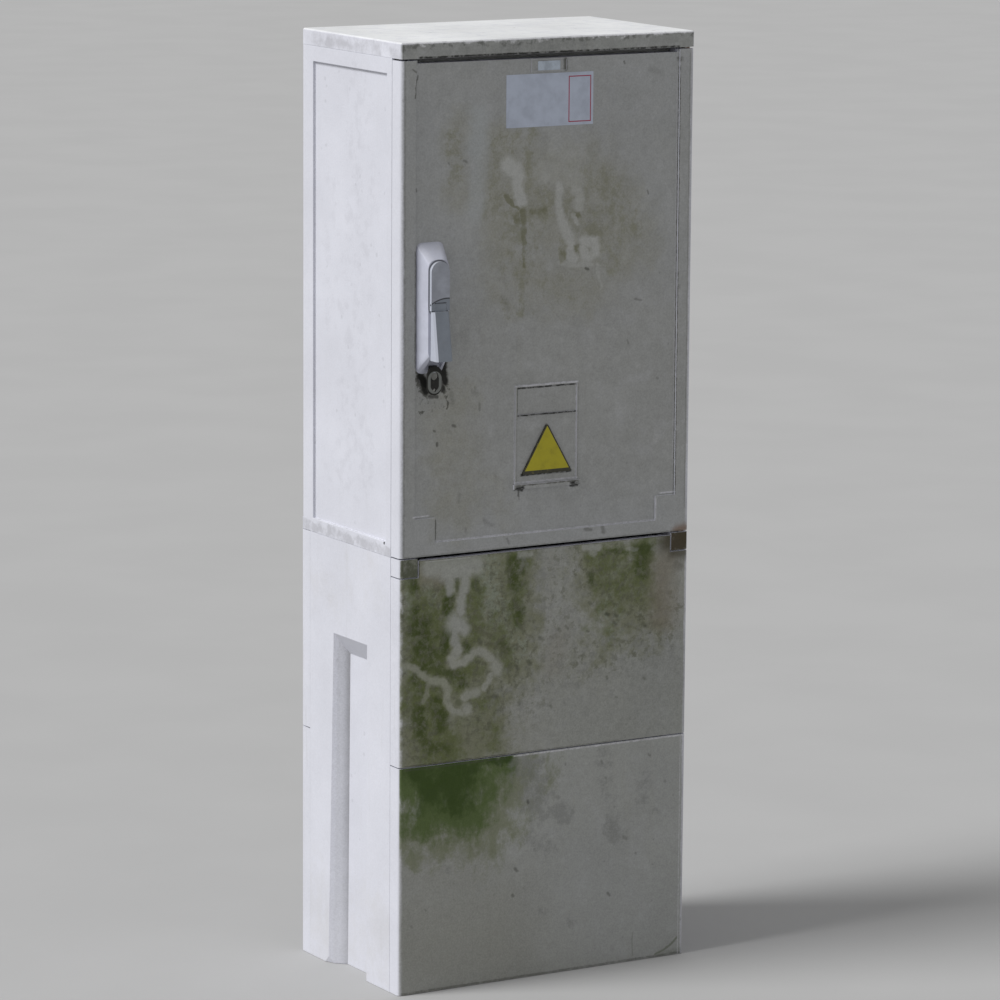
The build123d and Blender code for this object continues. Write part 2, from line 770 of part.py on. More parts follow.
def handle_housing():
    """Tapered housing; its lower end is hollowed as a finger pocket."""
    base = housing_outline(handle_base_width / 2, handle_low, handle_high, handle_base_corner, y_field)
    face = housing_outline(handle_face_width / 2, handle_low + handle_slope, handle_high - handle_slope,
                           handle_face_corner, y_handle_face)
    housing = Part() + frustum(base, face)
    half = pocket_width / 2
    housing -= block((handle_x - half, handle_x + half), (y_handle_face - 1, y_field - pocket_depth),
                     (handle_low - 1, handle_low + pocket_height))
    return housing - round_y(handle_x, (y_handle_face - 1, y_field + 1), hub_height, shaft_radius + running_gap)


def padlock_eye():
    """Flat oval eye on a stem from the pocket's floor: a large hole for the shackle and a small one below."""
    y_back_face = y_field - pocket_depth - 5
    y = (y_back_face - eye_thickness, y_back_face)
    half = eye_width / 2
    eye = block((handle_x - half, handle_x + half), y, (eye_low + half, eye_high - half))
    for z in (eye_low + half, eye_high - half):
        eye += peg_y(handle_x, y, z, half, 2 * peg_sides)
    eye -= round_y(handle_x, (y[0] - 1, y[1] + 1), eye_high - half - 3, eye_hole_radius)
    eye -= peg_y(handle_x, (y[0] - 1, y[1] + 1), eye_low + half - 4, eye_small_radius)
    stem = block((handle_x - half / 2, handle_x + half / 2), (y_back_face, y_field - pocket_depth),
                 (eye_high - 4.5, eye_high - 0.5))
    return eye + stem


def handle_rotor():
    """Turning hub with an arched top, a fork for the lever and the shaft through the door."""
    low = lever_pivot_height - ear_reach
    y = (y_hub_front, y_lever_under)
    hub = round_y(handle_x, y, hub_height, hub_radius)
    hub += block((handle_x - hub_radius, handle_x + hub_radius), y, (low, hub_height))
    half = tongue_width / 2 + fit_gap
    hub -= block((handle_x - half, handle_x + half), (y[0] - 1, y[1] + 1),
                 (low - 1, lever_pivot_height + hub_thickness / 2 + 2 * fit_gap))
    hub -= round_x((handle_x - hub_radius - 1, handle_x + hub_radius + 1), y_lever_pivot, lever_pivot_height,
                   lever_pin_radius)
    hub += round_y(handle_x, (y_lever_under, y_pinion_front), hub_height, shaft_radius)
    hub += spindle((y_pinion_front, y_pinion_back))
    return hub - shaft_screw(running_gap)


def spindle(y):
    half = shaft_square / 2
    return block((handle_x - half, handle_x + half), y, (hub_height - half, hub_height + half))


def shaft_screw(grow=0.0):
    """Screw and washer on the end of the shaft; they hold the pinion."""
    screw = peg_y(handle_x, (y_pinion_back, y_pinion_back + 1.5), hub_height, shaft_washer_radius, 2 * peg_sides)
    screw += peg_y(handle_x, (y_pinion_back + 1.5, y_pinion_back + 3.5), hub_height, shaft_washer_radius / 2)
    return screw + peg_y(handle_x, (y_pinion_back - 12 - grow, y_pinion_back), hub_height,
                         shaft_screw_radius + grow)


def lever_pin():
    return round_x((handle_x - hub_radius + 0.5, handle_x + hub_radius - 0.5), y_lever_pivot, lever_pivot_height,
                   lever_pin_radius)


def handle_lever():
    """Grip that stands further out towards its lower end, hollow below, with a rounded tongue at the pivot."""
    shoulder = lever_pivot_height - shoulder_reach
    y_foot = y_field - lever_stand
    y_head = y_hub_front - lever_rise
    side = [(y_lever_under, shoulder), (y_head, shoulder), (y_foot, lever_low), (y_lever_under, lever_low)]
    half = lever_width / 2
    grip = prism_x(side, (handle_x - half, handle_x + half))
    front = [edge for edge in grip.edges() if edge.center().Y < (y_head + y_foot) / 2 + 1
             and abs(edge.center().X - handle_x) > 1]
    grip = chamfer(front, lever_bevel)
    top = shoulder - 2 * lever_shell
    inside = [(y_lever_under + 1, top), (y_head + lever_shell, top),
              (y_foot + 1.5 * lever_shell, lever_low + lever_shell), (y_lever_under + 1, lever_low + lever_shell)]
    half -= lever_shell + lever_bevel / 2
    grip -= prism_x(inside, (handle_x - half, handle_x + half))
    y = (y_hub_front, y_lever_under)
    x = (handle_x - tongue_width / 2, handle_x + tongue_width / 2)
    tongue = block(x, y, (shoulder, lever_pivot_height))
    tongue += round_x(x, y_lever_pivot, lever_pivot_height, hub_thickness / 2)
    tongue -= round_x((x[0] - 1, x[1] + 1), y_lever_pivot, lever_pivot_height, lever_pin_radius + running_gap)
    return grip + tongue


# Lock inside the door

def pinion_outline():
    """Teeth with involute flanks around the handle shaft, as (x, z) points."""
    tip = pitch_radius + tooth_addendum * tooth_module
    root = pitch_radius - tooth_dedendum * tooth_module
    base = pitch_radius * cos(radians(pressure_angle))
    half_tooth = (pi * tooth_module / 2 - tooth_backlash / 2) / 2 / pitch_radius
    involute = tan(radians(pressure_angle)) - radians(pressure_angle)
    flank = []
    radii = [root, pitch_radius, tip]
    for radius in radii:
        ratio = min(1.0, base / radius)
        angle = acos(ratio)
        flank.append((radius, half_tooth + involute - (tan(angle) - angle)))
    points = []
    for tooth in range(pinion_teeth):
        middle = 2 * pi * (tooth + 0.5) / pinion_teeth
        for radius, half in flank:
            points.append(polar(radius, middle - half))
        for radius, half in reversed(flank):
            points.append(polar(radius, middle + half))
    return points


def polar(radius, angle):
    return (handle_x + radius * cos(angle), hub_height + radius * sin(angle))


def lock_pinion():
    pinion = prism_y(pinion_outline(), (y_rods + fit_gap, y_pinion_back))
    pinion += peg_y(handle_x, (y_pinion_front, y_rods + fit_gap), hub_height, pinion_hub_radius, 2 * peg_sides)
    return pinion - spindle((y_pinion_front - 1, y_pinion_back + 1))


def rack_teeth(way, count, first):
    """Straight teeth beside the pinion: way -1 is the left rack, first is the lowest tooth's step."""
    pitch = pi * tooth_module
    x_pitch = handle_x + way * pitch_radius
    x_tip = x_pitch - way * tooth_addendum * tooth_module
    x_root = x_pitch + way * tooth_dedendum * tooth_module
    half = pitch / 4 - tooth_backlash / 4
    slant = tan(radians(pressure_angle))
    y = (y_rods, y_rods + rod_thickness)
    teeth = []
    for step in range(first, first + count):
        z = hub_height + step * pitch
        root_half = half + abs(x_root - x_pitch) * slant
        tip_half = half - abs(x_tip - x_pitch) * slant
        outline = [(x_root + way * 0.5, z - root_half), (x_root, z - root_half), (x_tip, z - tip_half),
                   (x_tip, z + tip_half), (x_root, z + root_half), (x_root + way * 0.5, z + root_half)]
        teeth.append(prism_y(outline, y))
    return teeth


def lock_rod(way, z_end):
    """Flat rod with a rack beside the pinion; way +1 is the upper rod, on the pinion's left."""
    side = -way
    y = (y_rods, y_rods + rod_thickness)
    x_root = handle_x + side * (pitch_radius + tooth_dedendum * tooth_module)
    x_outside = x_root + side * rack_body
    x_rod = handle_x + side * rod_spread
    x_bar = (x_rod - rod_width / 2, x_rod + rod_width / 2)
    z_link = rod_link(way)
    z_turn = z_link + way * rod_width
    z_tail = hub_height - way * (rack_reach / 2)
    rod = block((x_root, x_outside), y, (z_tail, z_turn))
    far = x_bar[1] if side < 0 else x_bar[0]
    rod += block((x_outside, far), y, (z_link, z_turn))
    rod += block(x_bar, y, (z_link, z_end))
    count = 5
    first = -1 if way > 0 else 1 - count + 1
    for tooth in rack_teeth(side, count, first):
        rod += tooth
    return rod


def rod_link(way):
    """Level where a rod turns from its rack to its bar."""
    clear = pitch_radius + tooth_addendum * tooth_module + rod_travel + rod_run_out
    return hub_height + way * clear


def guide_places():
    """(x, z) of each rod guide."""
    places = []
    for way, end in ((1, z_opening_high), (-1, z_opening_low)):
        start = rod_link(way) + way * rod_width
        places += [(handle_x - way * rod_spread, start + share * (end - start)) for share in guide_shares]
    return places


def rod_guides():
    """Bridges on the door's inside, each holding a rod between its cheeks."""
    guides = []
    reach = y_rods + rod_thickness
    for x, z in guide_places():
        inner = rod_width / 2 + fit_gap
        outer = inner + guide_wall
        z_pair = (z - guide_height / 2, z + guide_height / 2)
        guide = block((x - outer, x + outer), (y_door_inside, reach + fit_gap + guide_wall), z_pair)
        z_cut = (z_pair[0] - 1, z_pair[1] + 1)
        guide -= block((x - inner, x + inner), (y_rods - fit_gap, reach + fit_gap), z_cut)
        guide -= block((x - inner, x + inner), (y_door_inside + guide_wall, y_rods - fit_gap - guide_wall), z_cut)
        guides.append(guide)
    return guides


def lock_base():
    """Plate and bearing tube for the handle shaft on the door's inside."""
    half = bearing_radius + 4
    base = block((handle_x - half, handle_x + half), (y_door_inside, y_door_inside + lock_base_thickness),
                 (hub_height - lock_base_height / 2, hub_height + lock_base_height / 2))
    base += peg_y(handle_x, (y_door_inside, y_pinion_front - fit_gap), hub_height, bearing_radius, 2 * peg_sides)
    return base - round_y(handle_x, (y_door_inside - 1, y_rods), hub_height, shaft_radius + running_gap)


def rod_keepers():
    """Wear plates behind the sealing frame, where the rods pass."""
    keepers = []
    for way, x, z in ((1, handle_x - rod_spread, z_opening_high), (-1, handle_x + rod_spread, z_opening_low)):
        x_pair = (max(x - keeper_width / 2, -x_opening), x + keeper_width / 2)
        keepers.append(block(x_pair, (y_frame_back, y_frame_back + keeper_thickness), (z, z + way * keeper_height)))
    return keepers


# Equipment

def mounting_plate():
    plate = block((-x_plate, x_plate), (y_mounting_plate, y_mounting_plate + plate_thickness), (plate_low, plate_high))
    for bolt in plate_bolts(fit_gap):
        plate -= bolt
    return plate


def standoff_places():
    x = x_plate - 20
    return [(side * x, z) for side in (-1, 1) for z in (plate_low + 20, plate_high - 20)]


def standoffs():
    pieces = []
    for x, z in standoff_places():
        tube = peg_y(x, (y_mounting_plate + plate_thickness, y_back - wall), z, standoff_radius)
        pieces.append(tube - peg_y(x, (y_mounting_plate, y_back), z, 3 + fit_gap))
    return pieces


def plate_bolts(grow=0.0):
    """Bolts through the mounting plate and its stand-offs, into the rear wall."""
    bolts = []
    for x, z in standoff_places():
        place = Pos(x, y_mounting_plate, z) * Rot(90, 0, 0)
        reach = plate_thickness + plate_stand + wall - 1
        bolts.append(hex_bolt((0, 4), (-reach, 0), 6 - grow, 3 + grow, place))
    return bolts


def mounting_rail(z):
    """Top-hat rail."""
    half = rail_height / 2
    hat = half - 5
    y0, y1 = y_rail, y_mounting_plate
    outline = [(y0, z - half), (y0, z - hat + rail_sheet), (y1 - rail_sheet, z - hat + rail_sheet),
               (y1 - rail_sheet, z + hat - rail_sheet), (y0, z + hat - rail_sheet), (y0, z + half),
               (y0 + rail_sheet, z + half), (y0 + rail_sheet, z + hat), (y1, z + hat),
               (y1, z - hat), (y0 + rail_sheet, z - hat), (y0 + rail_sheet, z - half)]
    return prism_x(outline, (-x_rail, x_rail))


def case_outline(z):
    """Side view of a rail-mounted case, its hooks over the rail's edges."""
    half = rail_height / 2 + fit_gap
    upper = [(0, half), (rail_sheet + 2.5, half), (rail_sheet + 2.5, half + 5), (-4, case_height / 2),
             (-case_shoulder, case_height / 2), (-case_shoulder, nose_height / 2 + 3),
             (-case_shoulder - 3, nose_height / 2), (-case_nose, nose_height / 2)]
    lower = [(y, -level) for y, level in reversed(upper)]
    return [(y_rail + y, z + level) for y, level in upper + lower]


def device_case(x, modules):
    """Case with its terminal recesses; x is its left side."""
    z = upper_rail_height
    span = modules * module
    case = prism_x(case_outline(z), (x + fit_gap / 2, x + span - fit_gap / 2))
    for step in range(modules):
        for side in (-1, 1):
            place = x + (step + 0.5) * module
            level = z + side * (case_height / 2 + nose_height / 2 + 3) / 2
            case -= block((place - 3, place + 3), (y_rail - case_shoulder - 1, y_rail - case_shoulder + 5),
                          (level - 3, level + 3))
    return case


def toggle_window(x_middle, width_of_toggle):
    """Hollow in the nose for a toggle's drum and its swing."""
    half = width_of_toggle / 2 + toggle_gap
    y_front = y_rail - case_nose
    z = upper_rail_height
    hollow = peg_x((x_middle - half, x_middle + half), y_front + 6, z, toggle_radius + 2 * toggle_gap, drum_sides)
    return hollow + block((x_middle - half, x_middle + half), (y_front - 1, y_front + 6), (z - 11, z + 11))


def toggle(x_middle, width_of_toggle):
    """Drum with a lever, drawn in its upper position."""
    x = (-width_of_toggle / 2, width_of_toggle / 2)
    drum = peg_x(x, 0, 0, toggle_radius, drum_sides)
    lever = block(x, (-toggle_reach, 0), (-toggle_thickness / 2, toggle_thickness / 2))
    return Pos(x_middle, y_rail - case_nose + 6, upper_rail_height) * Rot(-toggle_angle, 0, 0) * (drum + lever)


def switch_with_toggle(x, modules, width_of_toggle):
    middle = x + modules * module / 2
    case = device_case(x, modules) - toggle_window(middle, width_of_toggle)
    return case, toggle(middle, width_of_toggle)


def carrier_space(x, grow):
    """A fuse carrier, or with grow its pocket: bounded by an arc about its lower front pivot."""
    y_front = y_rail - case_nose
    z = upper_rail_height - carrier_drop
    pair = (x - carrier_width / 2 - grow, x + carrier_width / 2 + grow)
    sweep = round_x(pair, y_front, z, carrier_radius + grow)
    return sweep & block(pair, (y_front - carrier_proud, y_front + carrier_depth + grow),
                         (z - grow, z + carrier_radius + 1))


def fuse_carrier(x):
    y_front = y_rail - case_nose
    z = upper_rail_height - carrier_drop + carrier_radius * 0.62
    grip = block((x - carrier_width / 2, x + carrier_width / 2),
                 (y_front - carrier_proud - 8, y_front - carrier_proud), (z, z + 8))
    return carrier_space(x, 0) + grip


def contactor(x):
    case = device_case(x, 2)
    y_front = y_rail - case_nose
    return case - block((x + 9, x + 27), (y_front - 1, y_front + 1.5), (upper_rail_height - 6, upper_rail_height + 10))


def terminal_blocks():
    blocks = []
    half = rail_height / 2 + fit_gap
    z0 = lower_rail_height
    top = terminal_height / 2
    outline = [(0, half), (rail_sheet + 2, half), (rail_sheet + 2, half + 3), (0, top),
               (-terminal_depth + 12, top), (-terminal_depth, top - 8)]
    outline += [(y, -level) for y, level in reversed(outline)]
    points = [(y_rail + y, z0 + level) for y, level in outline]
    start = -terminal_count * terminal_pitch / 2
    for step in range(terminal_count):
        x = start + step * terminal_pitch
        body = prism_x(points, (x + fit_gap / 2, x + terminal_pitch - fit_gap / 2))
        for side in (-1, 1):
            body -= block((x + 3, x + 7), (y_rail - terminal_depth - 1, y_rail - terminal_depth + 6),
                          (z0 + side * 8 - 2.5, z0 + side * 8 + 2.5))
        blocks.append(body)
    return blocks


def neutral_bar():
    y = y_mounting_plate - bar_support
    return block((-x_bar, x_bar), (y - bar_thickness, y), (bar_level - bar_height / 2, bar_level + bar_height / 2))


def bar_supports():
    y = y_mounting_plate - bar_support
    x = x_bar - 12
    supports = []
    for side in (-1, 1):
        post = block((side * x - 8, side * x + 8), (y, y_mounting_plate), (bar_level - 10, bar_level + 10))
        supports.append(post)
    return supports


def bar_screws():
    y = y_mounting_plate - bar_support - bar_thickness
    screws = []
    for step in range(-3, 4):
        place = Pos(step * bar_screw_pitch, y, bar_level) * Rot(90, 0, 0)
        screws.append(place * extrude(RegularPolygon(5, 6), 5))
    return screws


os.makedirs("parts", exist_ok=True)

left_side = pedestal_side()
save("pedestal_left_side", left_side)
save("pedestal_right_side", mirror(left_side, about=Plane.YZ))
front_upper = upper_front_cover()
front_lower = cover(y_face, (0, cover_joint - joint_gap / 2), cover_joint - joint_gap / 2, 1)
rear_upper = cover(y_pedestal_back, (rear_joint + joint_gap / 2, seam_height + rear_lip),
                   seam_height - edge_gap / 2, -1)
rear_lower = cover(y_pedestal_back, (0, rear_joint - joint_gap / 2), rear_joint - joint_gap / 2, -1)
for name, shell in (("upper_front_cover", front_upper), ("lower_front_cover", front_lower),
                    ("upper_rear_panel", rear_upper), ("lower_rear_panel", rear_lower)):
    save(name, shell)
save("cover_screws", group(*cover_screws()))
save("cable_rail", cable_rail())
save("cable_clamps", group(*cable_clamps()))
save("clamp_bolts", group(*clamp_bolts()))

left_wall = cabinet_wall()
save("cabinet_left_wall", left_wall)
save("cabinet_right_wall", mirror(left_wall, about=Plane.YZ))
save("cabinet_rear_wall", rear_wall())
save("cabinet_floor", cabinet_floor())
save("cable_entry_plate", entry_plate())
save("cable_grommets", group(*cable_grommets()))
save("door_frame", door_frame())
save("cabinet_lid", lid())
save("lid_screws", group(*lid_screws()))
save("wall_screws", group(*wall_screws()))
save("section_bolts", group(*section_bolts()))

save("door_shell", door_shell())
save("door_gasket", door_gasket())
save("lower_hinge_pin", hinge_pin(z_door_low + hinge_pin_depth, seam_height, door_bottom_gap, hinge_pin_depth))
save("upper_hinge_pin", hinge_pin(z_lid - pad_gap - hinge_pin_depth, z_lid, pad_gap, hinge_pin_depth - 3))
save("triangle_plate", triangle_plate())

save("handle_housing", handle_housing())
save("padlock_eye", padlock_eye())
save("handle_rotor", handle_rotor())
save("handle_lever", handle_lever())
save("lever_pin", lever_pin())
save("lock_base", lock_base())
save("lock_pinion", lock_pinion())
save("shaft_screw", shaft_screw())
save("upper_lock_rod", lock_rod(1, z_opening_high - rod_short))
save("lower_lock_rod", lock_rod(-1, z_opening_low + rod_short))
save("rod_guides", group(*rod_guides()))
save("rod_keepers", group(*rod_keepers()))

save("mounting_plate", mounting_plate())
save("plate_standoffs", group(*standoffs()))
save("plate_bolts", group(*plate_bolts()))
save("upper_rail", mounting_rail(upper_rail_height))
save("lower_rail", mounting_rail(lower_rail_height))

main_case, main_toggle = switch_with_toggle(switch_start - x_rail, switch_modules, switch_toggle_width)
save("main_switch", main_case)
save("main_switch_toggle", main_toggle)
fuse_case = device_case(fuse_start - x_rail, 3)
for number in (1, 2, 3):
    breaker_left = breaker_start - x_rail + (number - 1) * module
    case, lever = switch_with_toggle(breaker_left, 1, breaker_toggle_width)
    save(f"breaker_{number}", case)
    save(f"breaker_toggle_{number}", lever)
    middle = fuse_start - x_rail + (number - 0.5) * module
    fuse_case -= carrier_space(middle, toggle_gap)
    save(f"fuse_carrier_{number}", fuse_carrier(middle))
save("fuse_base", fuse_case)
save("contactor", contactor(contactor_start - x_rail))
save("terminal_blocks", group(*terminal_blocks()))
save("neutral_bar", neutral_bar())
save("bar_supports", group(*bar_supports()))
save("bar_screws", group(*bar_screws()))
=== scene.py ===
# Looks for a roadside electrical box on its cable pedestal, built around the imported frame.
import bpy
import bmesh
import json
from math import radians, sin, cos
from mathutils import Matrix, Vector


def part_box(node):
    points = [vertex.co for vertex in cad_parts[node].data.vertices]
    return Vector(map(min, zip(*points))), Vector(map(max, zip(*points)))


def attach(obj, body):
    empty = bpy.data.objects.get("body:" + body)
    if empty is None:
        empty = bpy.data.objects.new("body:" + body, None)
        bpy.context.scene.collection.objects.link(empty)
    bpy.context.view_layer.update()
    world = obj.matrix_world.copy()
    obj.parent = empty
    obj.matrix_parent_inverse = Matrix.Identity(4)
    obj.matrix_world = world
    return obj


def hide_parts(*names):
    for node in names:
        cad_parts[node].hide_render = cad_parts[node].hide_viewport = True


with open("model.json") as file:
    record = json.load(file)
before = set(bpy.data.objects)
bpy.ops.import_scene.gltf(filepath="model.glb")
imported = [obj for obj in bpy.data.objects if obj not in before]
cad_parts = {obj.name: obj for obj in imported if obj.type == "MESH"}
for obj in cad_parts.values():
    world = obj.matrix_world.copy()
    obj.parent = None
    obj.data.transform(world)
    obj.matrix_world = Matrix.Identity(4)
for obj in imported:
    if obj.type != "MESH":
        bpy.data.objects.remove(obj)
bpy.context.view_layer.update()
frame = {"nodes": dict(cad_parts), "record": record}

mm = 0.001
cadNodes = frame["nodes"]
slotOfNode = {part["node"]: part["material_slot"] for part in frame["record"]["subparts"]}
nodeBody = {name: body for body, names in frame["record"]["behaviour"]["bodies"].items() for name in names}
print("frame loaded:", len(cadNodes), "pieces")


# Short ways to add and join shader nodes
class NodeSheet:
    def __init__(self, tree):
        self.tree = tree
        self.count = 0

    def add(self, kind):
        node = self.tree.nodes.new(kind)
        node.location = (self.count % 14 * 190, -(self.count // 14) * 260)
        self.count += 1
        return node

    def put(self, socket, value):
        if isinstance(value, bpy.types.NodeSocket):
            self.tree.links.new(value, socket)
        elif value is not None:
            socket.default_value = value

    def calc(self, operation, *values, clamp=False):
        node = self.add("ShaderNodeMath")
        node.operation = operation
        node.use_clamp = clamp
        for socket, value in zip(node.inputs, values):
            self.put(socket, value)
        return node.outputs[0]

    def plus(self, first, second, clamp=False):
        return self.calc("ADD", first, second, clamp=clamp)

    def minus(self, first, second):
        return self.calc("SUBTRACT", first, second)

    def times(self, first, second):
        return self.calc("MULTIPLY", first, second)

    def vector(self, operation, first, second=None, scale=None):
        node = self.add("ShaderNodeVectorMath")
        node.operation = operation
        self.put(node.inputs[0], first)
        self.put(node.inputs[1], second)
        if scale is not None:
            self.put(node.inputs["Scale"], scale)
        single = operation in ("DOT_PRODUCT", "DISTANCE", "LENGTH")
        return node.outputs["Value" if single else "Vector"]

    def mix(self, factor, first, second, mode="MIX"):
        node = self.add("ShaderNodeMix")
        node.data_type = "RGBA"
        node.blend_type = mode
        self.put(node.inputs[0], factor)
        for socket, value in ((node.inputs[6], first), (node.inputs[7], second)):
            self.put(socket, (*value, 1) if isinstance(value, tuple) else value)
        return node.outputs[2]

    def noise(self, point, scale, detail=2.0, roughness=0.5, output="Fac"):
        node = self.add("ShaderNodeTexNoise")
        self.put(node.inputs["Vector"], point)
        self.put(node.inputs["Scale"], scale)
        self.put(node.inputs["Detail"], detail)
        self.put(node.inputs["Roughness"], roughness)
        return node.outputs[output]

    def cells(self, point, scale):
        node = self.add("ShaderNodeTexVoronoi")
        self.put(node.inputs["Vector"], point)
        self.put(node.inputs["Scale"], scale)
        return node

    def remap(self, value, low, high, outLow=0.0, outHigh=1.0):
        node = self.add("ShaderNodeMapRange")
        node.interpolation_type = "SMOOTHSTEP"
        node.clamp = False    # a smooth step ends by itself
        for socket, number in zip(node.inputs, (value, low, high, outLow, outHigh)):
            self.put(socket, number)
        return node.outputs[0]

    def stretch(self, point, factors):
        return self.vector("MULTIPLY", point, factors)

    def drift(self, point, scale, detail=2.0):
        return self.vector("SUBTRACT", self.noise(point, scale, detail, 0.5, "Color"), (0.5, 0.5, 0.5))

    def shift(self, point, offset, amount):
        return self.vector("ADD", point, self.vector("SCALE", offset, scale=amount))

    def jitter(self, point, scale, amount):
        return self.shift(point, self.drift(point, scale), amount)

    def axes(self, point):
        node = self.add("ShaderNodeSeparateXYZ")
        self.put(node.inputs[0], point)
        return node.outputs

    def between(self, value, low, high, soft):
        rise = self.remap(value, low - soft, low + soft)
        return self.times(rise, self.remap(value, high - soft, high + soft, 1.0, 0.0))

    def shaded(self, colour, shade):
        grey = self.vector("SCALE", (1.0, 1.0, 1.0), scale=shade)
        return self.mix(1.0, colour, grey, "MULTIPLY")

    def bump(self, shader, height, strength, distance):
        node = self.add("ShaderNodeBump")
        node.inputs["Strength"].default_value = strength
        node.inputs["Distance"].default_value = distance * mm
        self.put(node.inputs["Height"], height)
        self.put(shader.inputs["Normal"], node.outputs[0])


def makeStrokeGroup():
    # How much a round-ended stroke from one point to another covers the shaded point
    tree = bpy.data.node_groups.new("stroke coverage", "ShaderNodeTree")
    for name, kind in (("Point", "NodeSocketVector"), ("From", "NodeSocketVector"), ("To", "NodeSocketVector"),
                       ("Radius", "NodeSocketFloat"), ("Soft", "NodeSocketFloat"), ("Strength", "NodeSocketFloat")):
        tree.interface.new_socket(name, in_out="INPUT", socket_type=kind)
    tree.interface.new_socket("Coverage", in_out="OUTPUT", socket_type="NodeSocketFloat")
    sheet = NodeSheet(tree)
    start = sheet.add("NodeGroupInput").outputs
    end = sheet.add("NodeGroupOutput")
    along = sheet.vector("SUBTRACT", start["To"], start["From"])
    reach = sheet.vector("SUBTRACT", start["Point"], start["From"])
    length = sheet.calc("MAXIMUM", sheet.vector("DOT_PRODUCT", along, along), 1e-9)
    share = sheet.calc("DIVIDE", sheet.vector("DOT_PRODUCT", reach, along), length)
    share = sheet.calc("MINIMUM", sheet.calc("MAXIMUM", share, 0.0), 1.0)
    gap = sheet.vector("DISTANCE", reach, sheet.vector("SCALE", along, scale=share))
    outer = sheet.plus(start["Radius"], start["Soft"])
    inner = sheet.minus(start["Radius"], start["Soft"])
    covered = sheet.remap(gap, outer, inner)
    sheet.put(end.inputs[0], sheet.times(covered, start["Strength"]))
    return tree


strokeGroup = makeStrokeGroup()


def strokeMask(sheet, flatPoint, strokes, soft, onSide=False):
    # strokes: (x, z, x, z, radius, strength) in millimetres; on a side wall x stands for y
    total = None
    for a0, z0, a1, z1, radius, strength in strokes:
        node = sheet.add("ShaderNodeGroup")
        node.node_tree = strokeGroup
        sheet.put(node.inputs["Point"], flatPoint)
        for name, (a, z) in {"From": (a0, z0), "To": (a1, z1)}.items():
            node.inputs[name].default_value = (0, a * mm, z * mm) if onSide else (a * mm, 0, z * mm)
        node.inputs["Radius"].default_value = radius * mm
        node.inputs["Soft"].default_value = max(soft * radius, 0.6) * mm
        node.inputs["Strength"].default_value = strength
        total = node.outputs[0] if total is None else sheet.calc("MAXIMUM", total, node.outputs[0])
    return total


def path(radius, strength, *points):
    # A run of strokes through (x, z) points
    return [(*a, *b, radius, strength) for a, b in zip(points, points[1:])]


def newMaterial(name):
    material = bpy.data.materials.new(name)
    material.use_nodes = True
    material.node_tree.nodes.clear()
    sheet = NodeSheet(material.node_tree)
    shader = sheet.add("ShaderNodeBsdfPrincipled")
    sheet.put(sheet.add("ShaderNodeOutputMaterial").inputs[0], shader.outputs[0])
    where = sheet.add("ShaderNodeTexCoord")
    return material, sheet, shader, where.outputs["Object"], where.outputs["Normal"]


# Aged polyester of the cabinet and pedestal. Colours are linear.
polyester = {
    "clean": (0.632, 0.639, 0.698),
    "front": (0.372, 0.378, 0.362),      # film of road dirt on what faces the street, darkened further as painted shade of the front
    "grime": (0.075, 0.075, 0.062),
    "soot": (0.016, 0.016, 0.014),
    "haze": (0.275, 0.268, 0.20),
    "algae": (0.116, 0.138, 0.048),
    "darkAlgae": (0.046, 0.066, 0.008),
    "washed": (0.375, 0.382, 0.358),     # where rain has washed the film off
    "worn": (0.62, 0.62, 0.66),          # chipped and rubbed edges, also used for painted highlights along edges
    "rust": (0.20, 0.12, 0.075),
    "filmEdge": 224.8, "filmSoft": 1.5, "filmWobble": 6.0,    # the film stops before the rounded corner
    "hollowAcross": (209.0, 220.0), "hollowAlong": (-20.0, 80.0),
    "wideDrift": 20.0, "narrowDrift": 110.0, "driftGain": 2.5,
    "patches": 0.10, "smears": 0.12, "grain": 0.30,
    "settled": 0.22, "streaks": 0.14, "fleckShare": 0.10, "flecks": 0.35,
    "roughness": 0.55, "specular": 0.24, "bump": 0.3, "bumpHeight": 0.5,
}


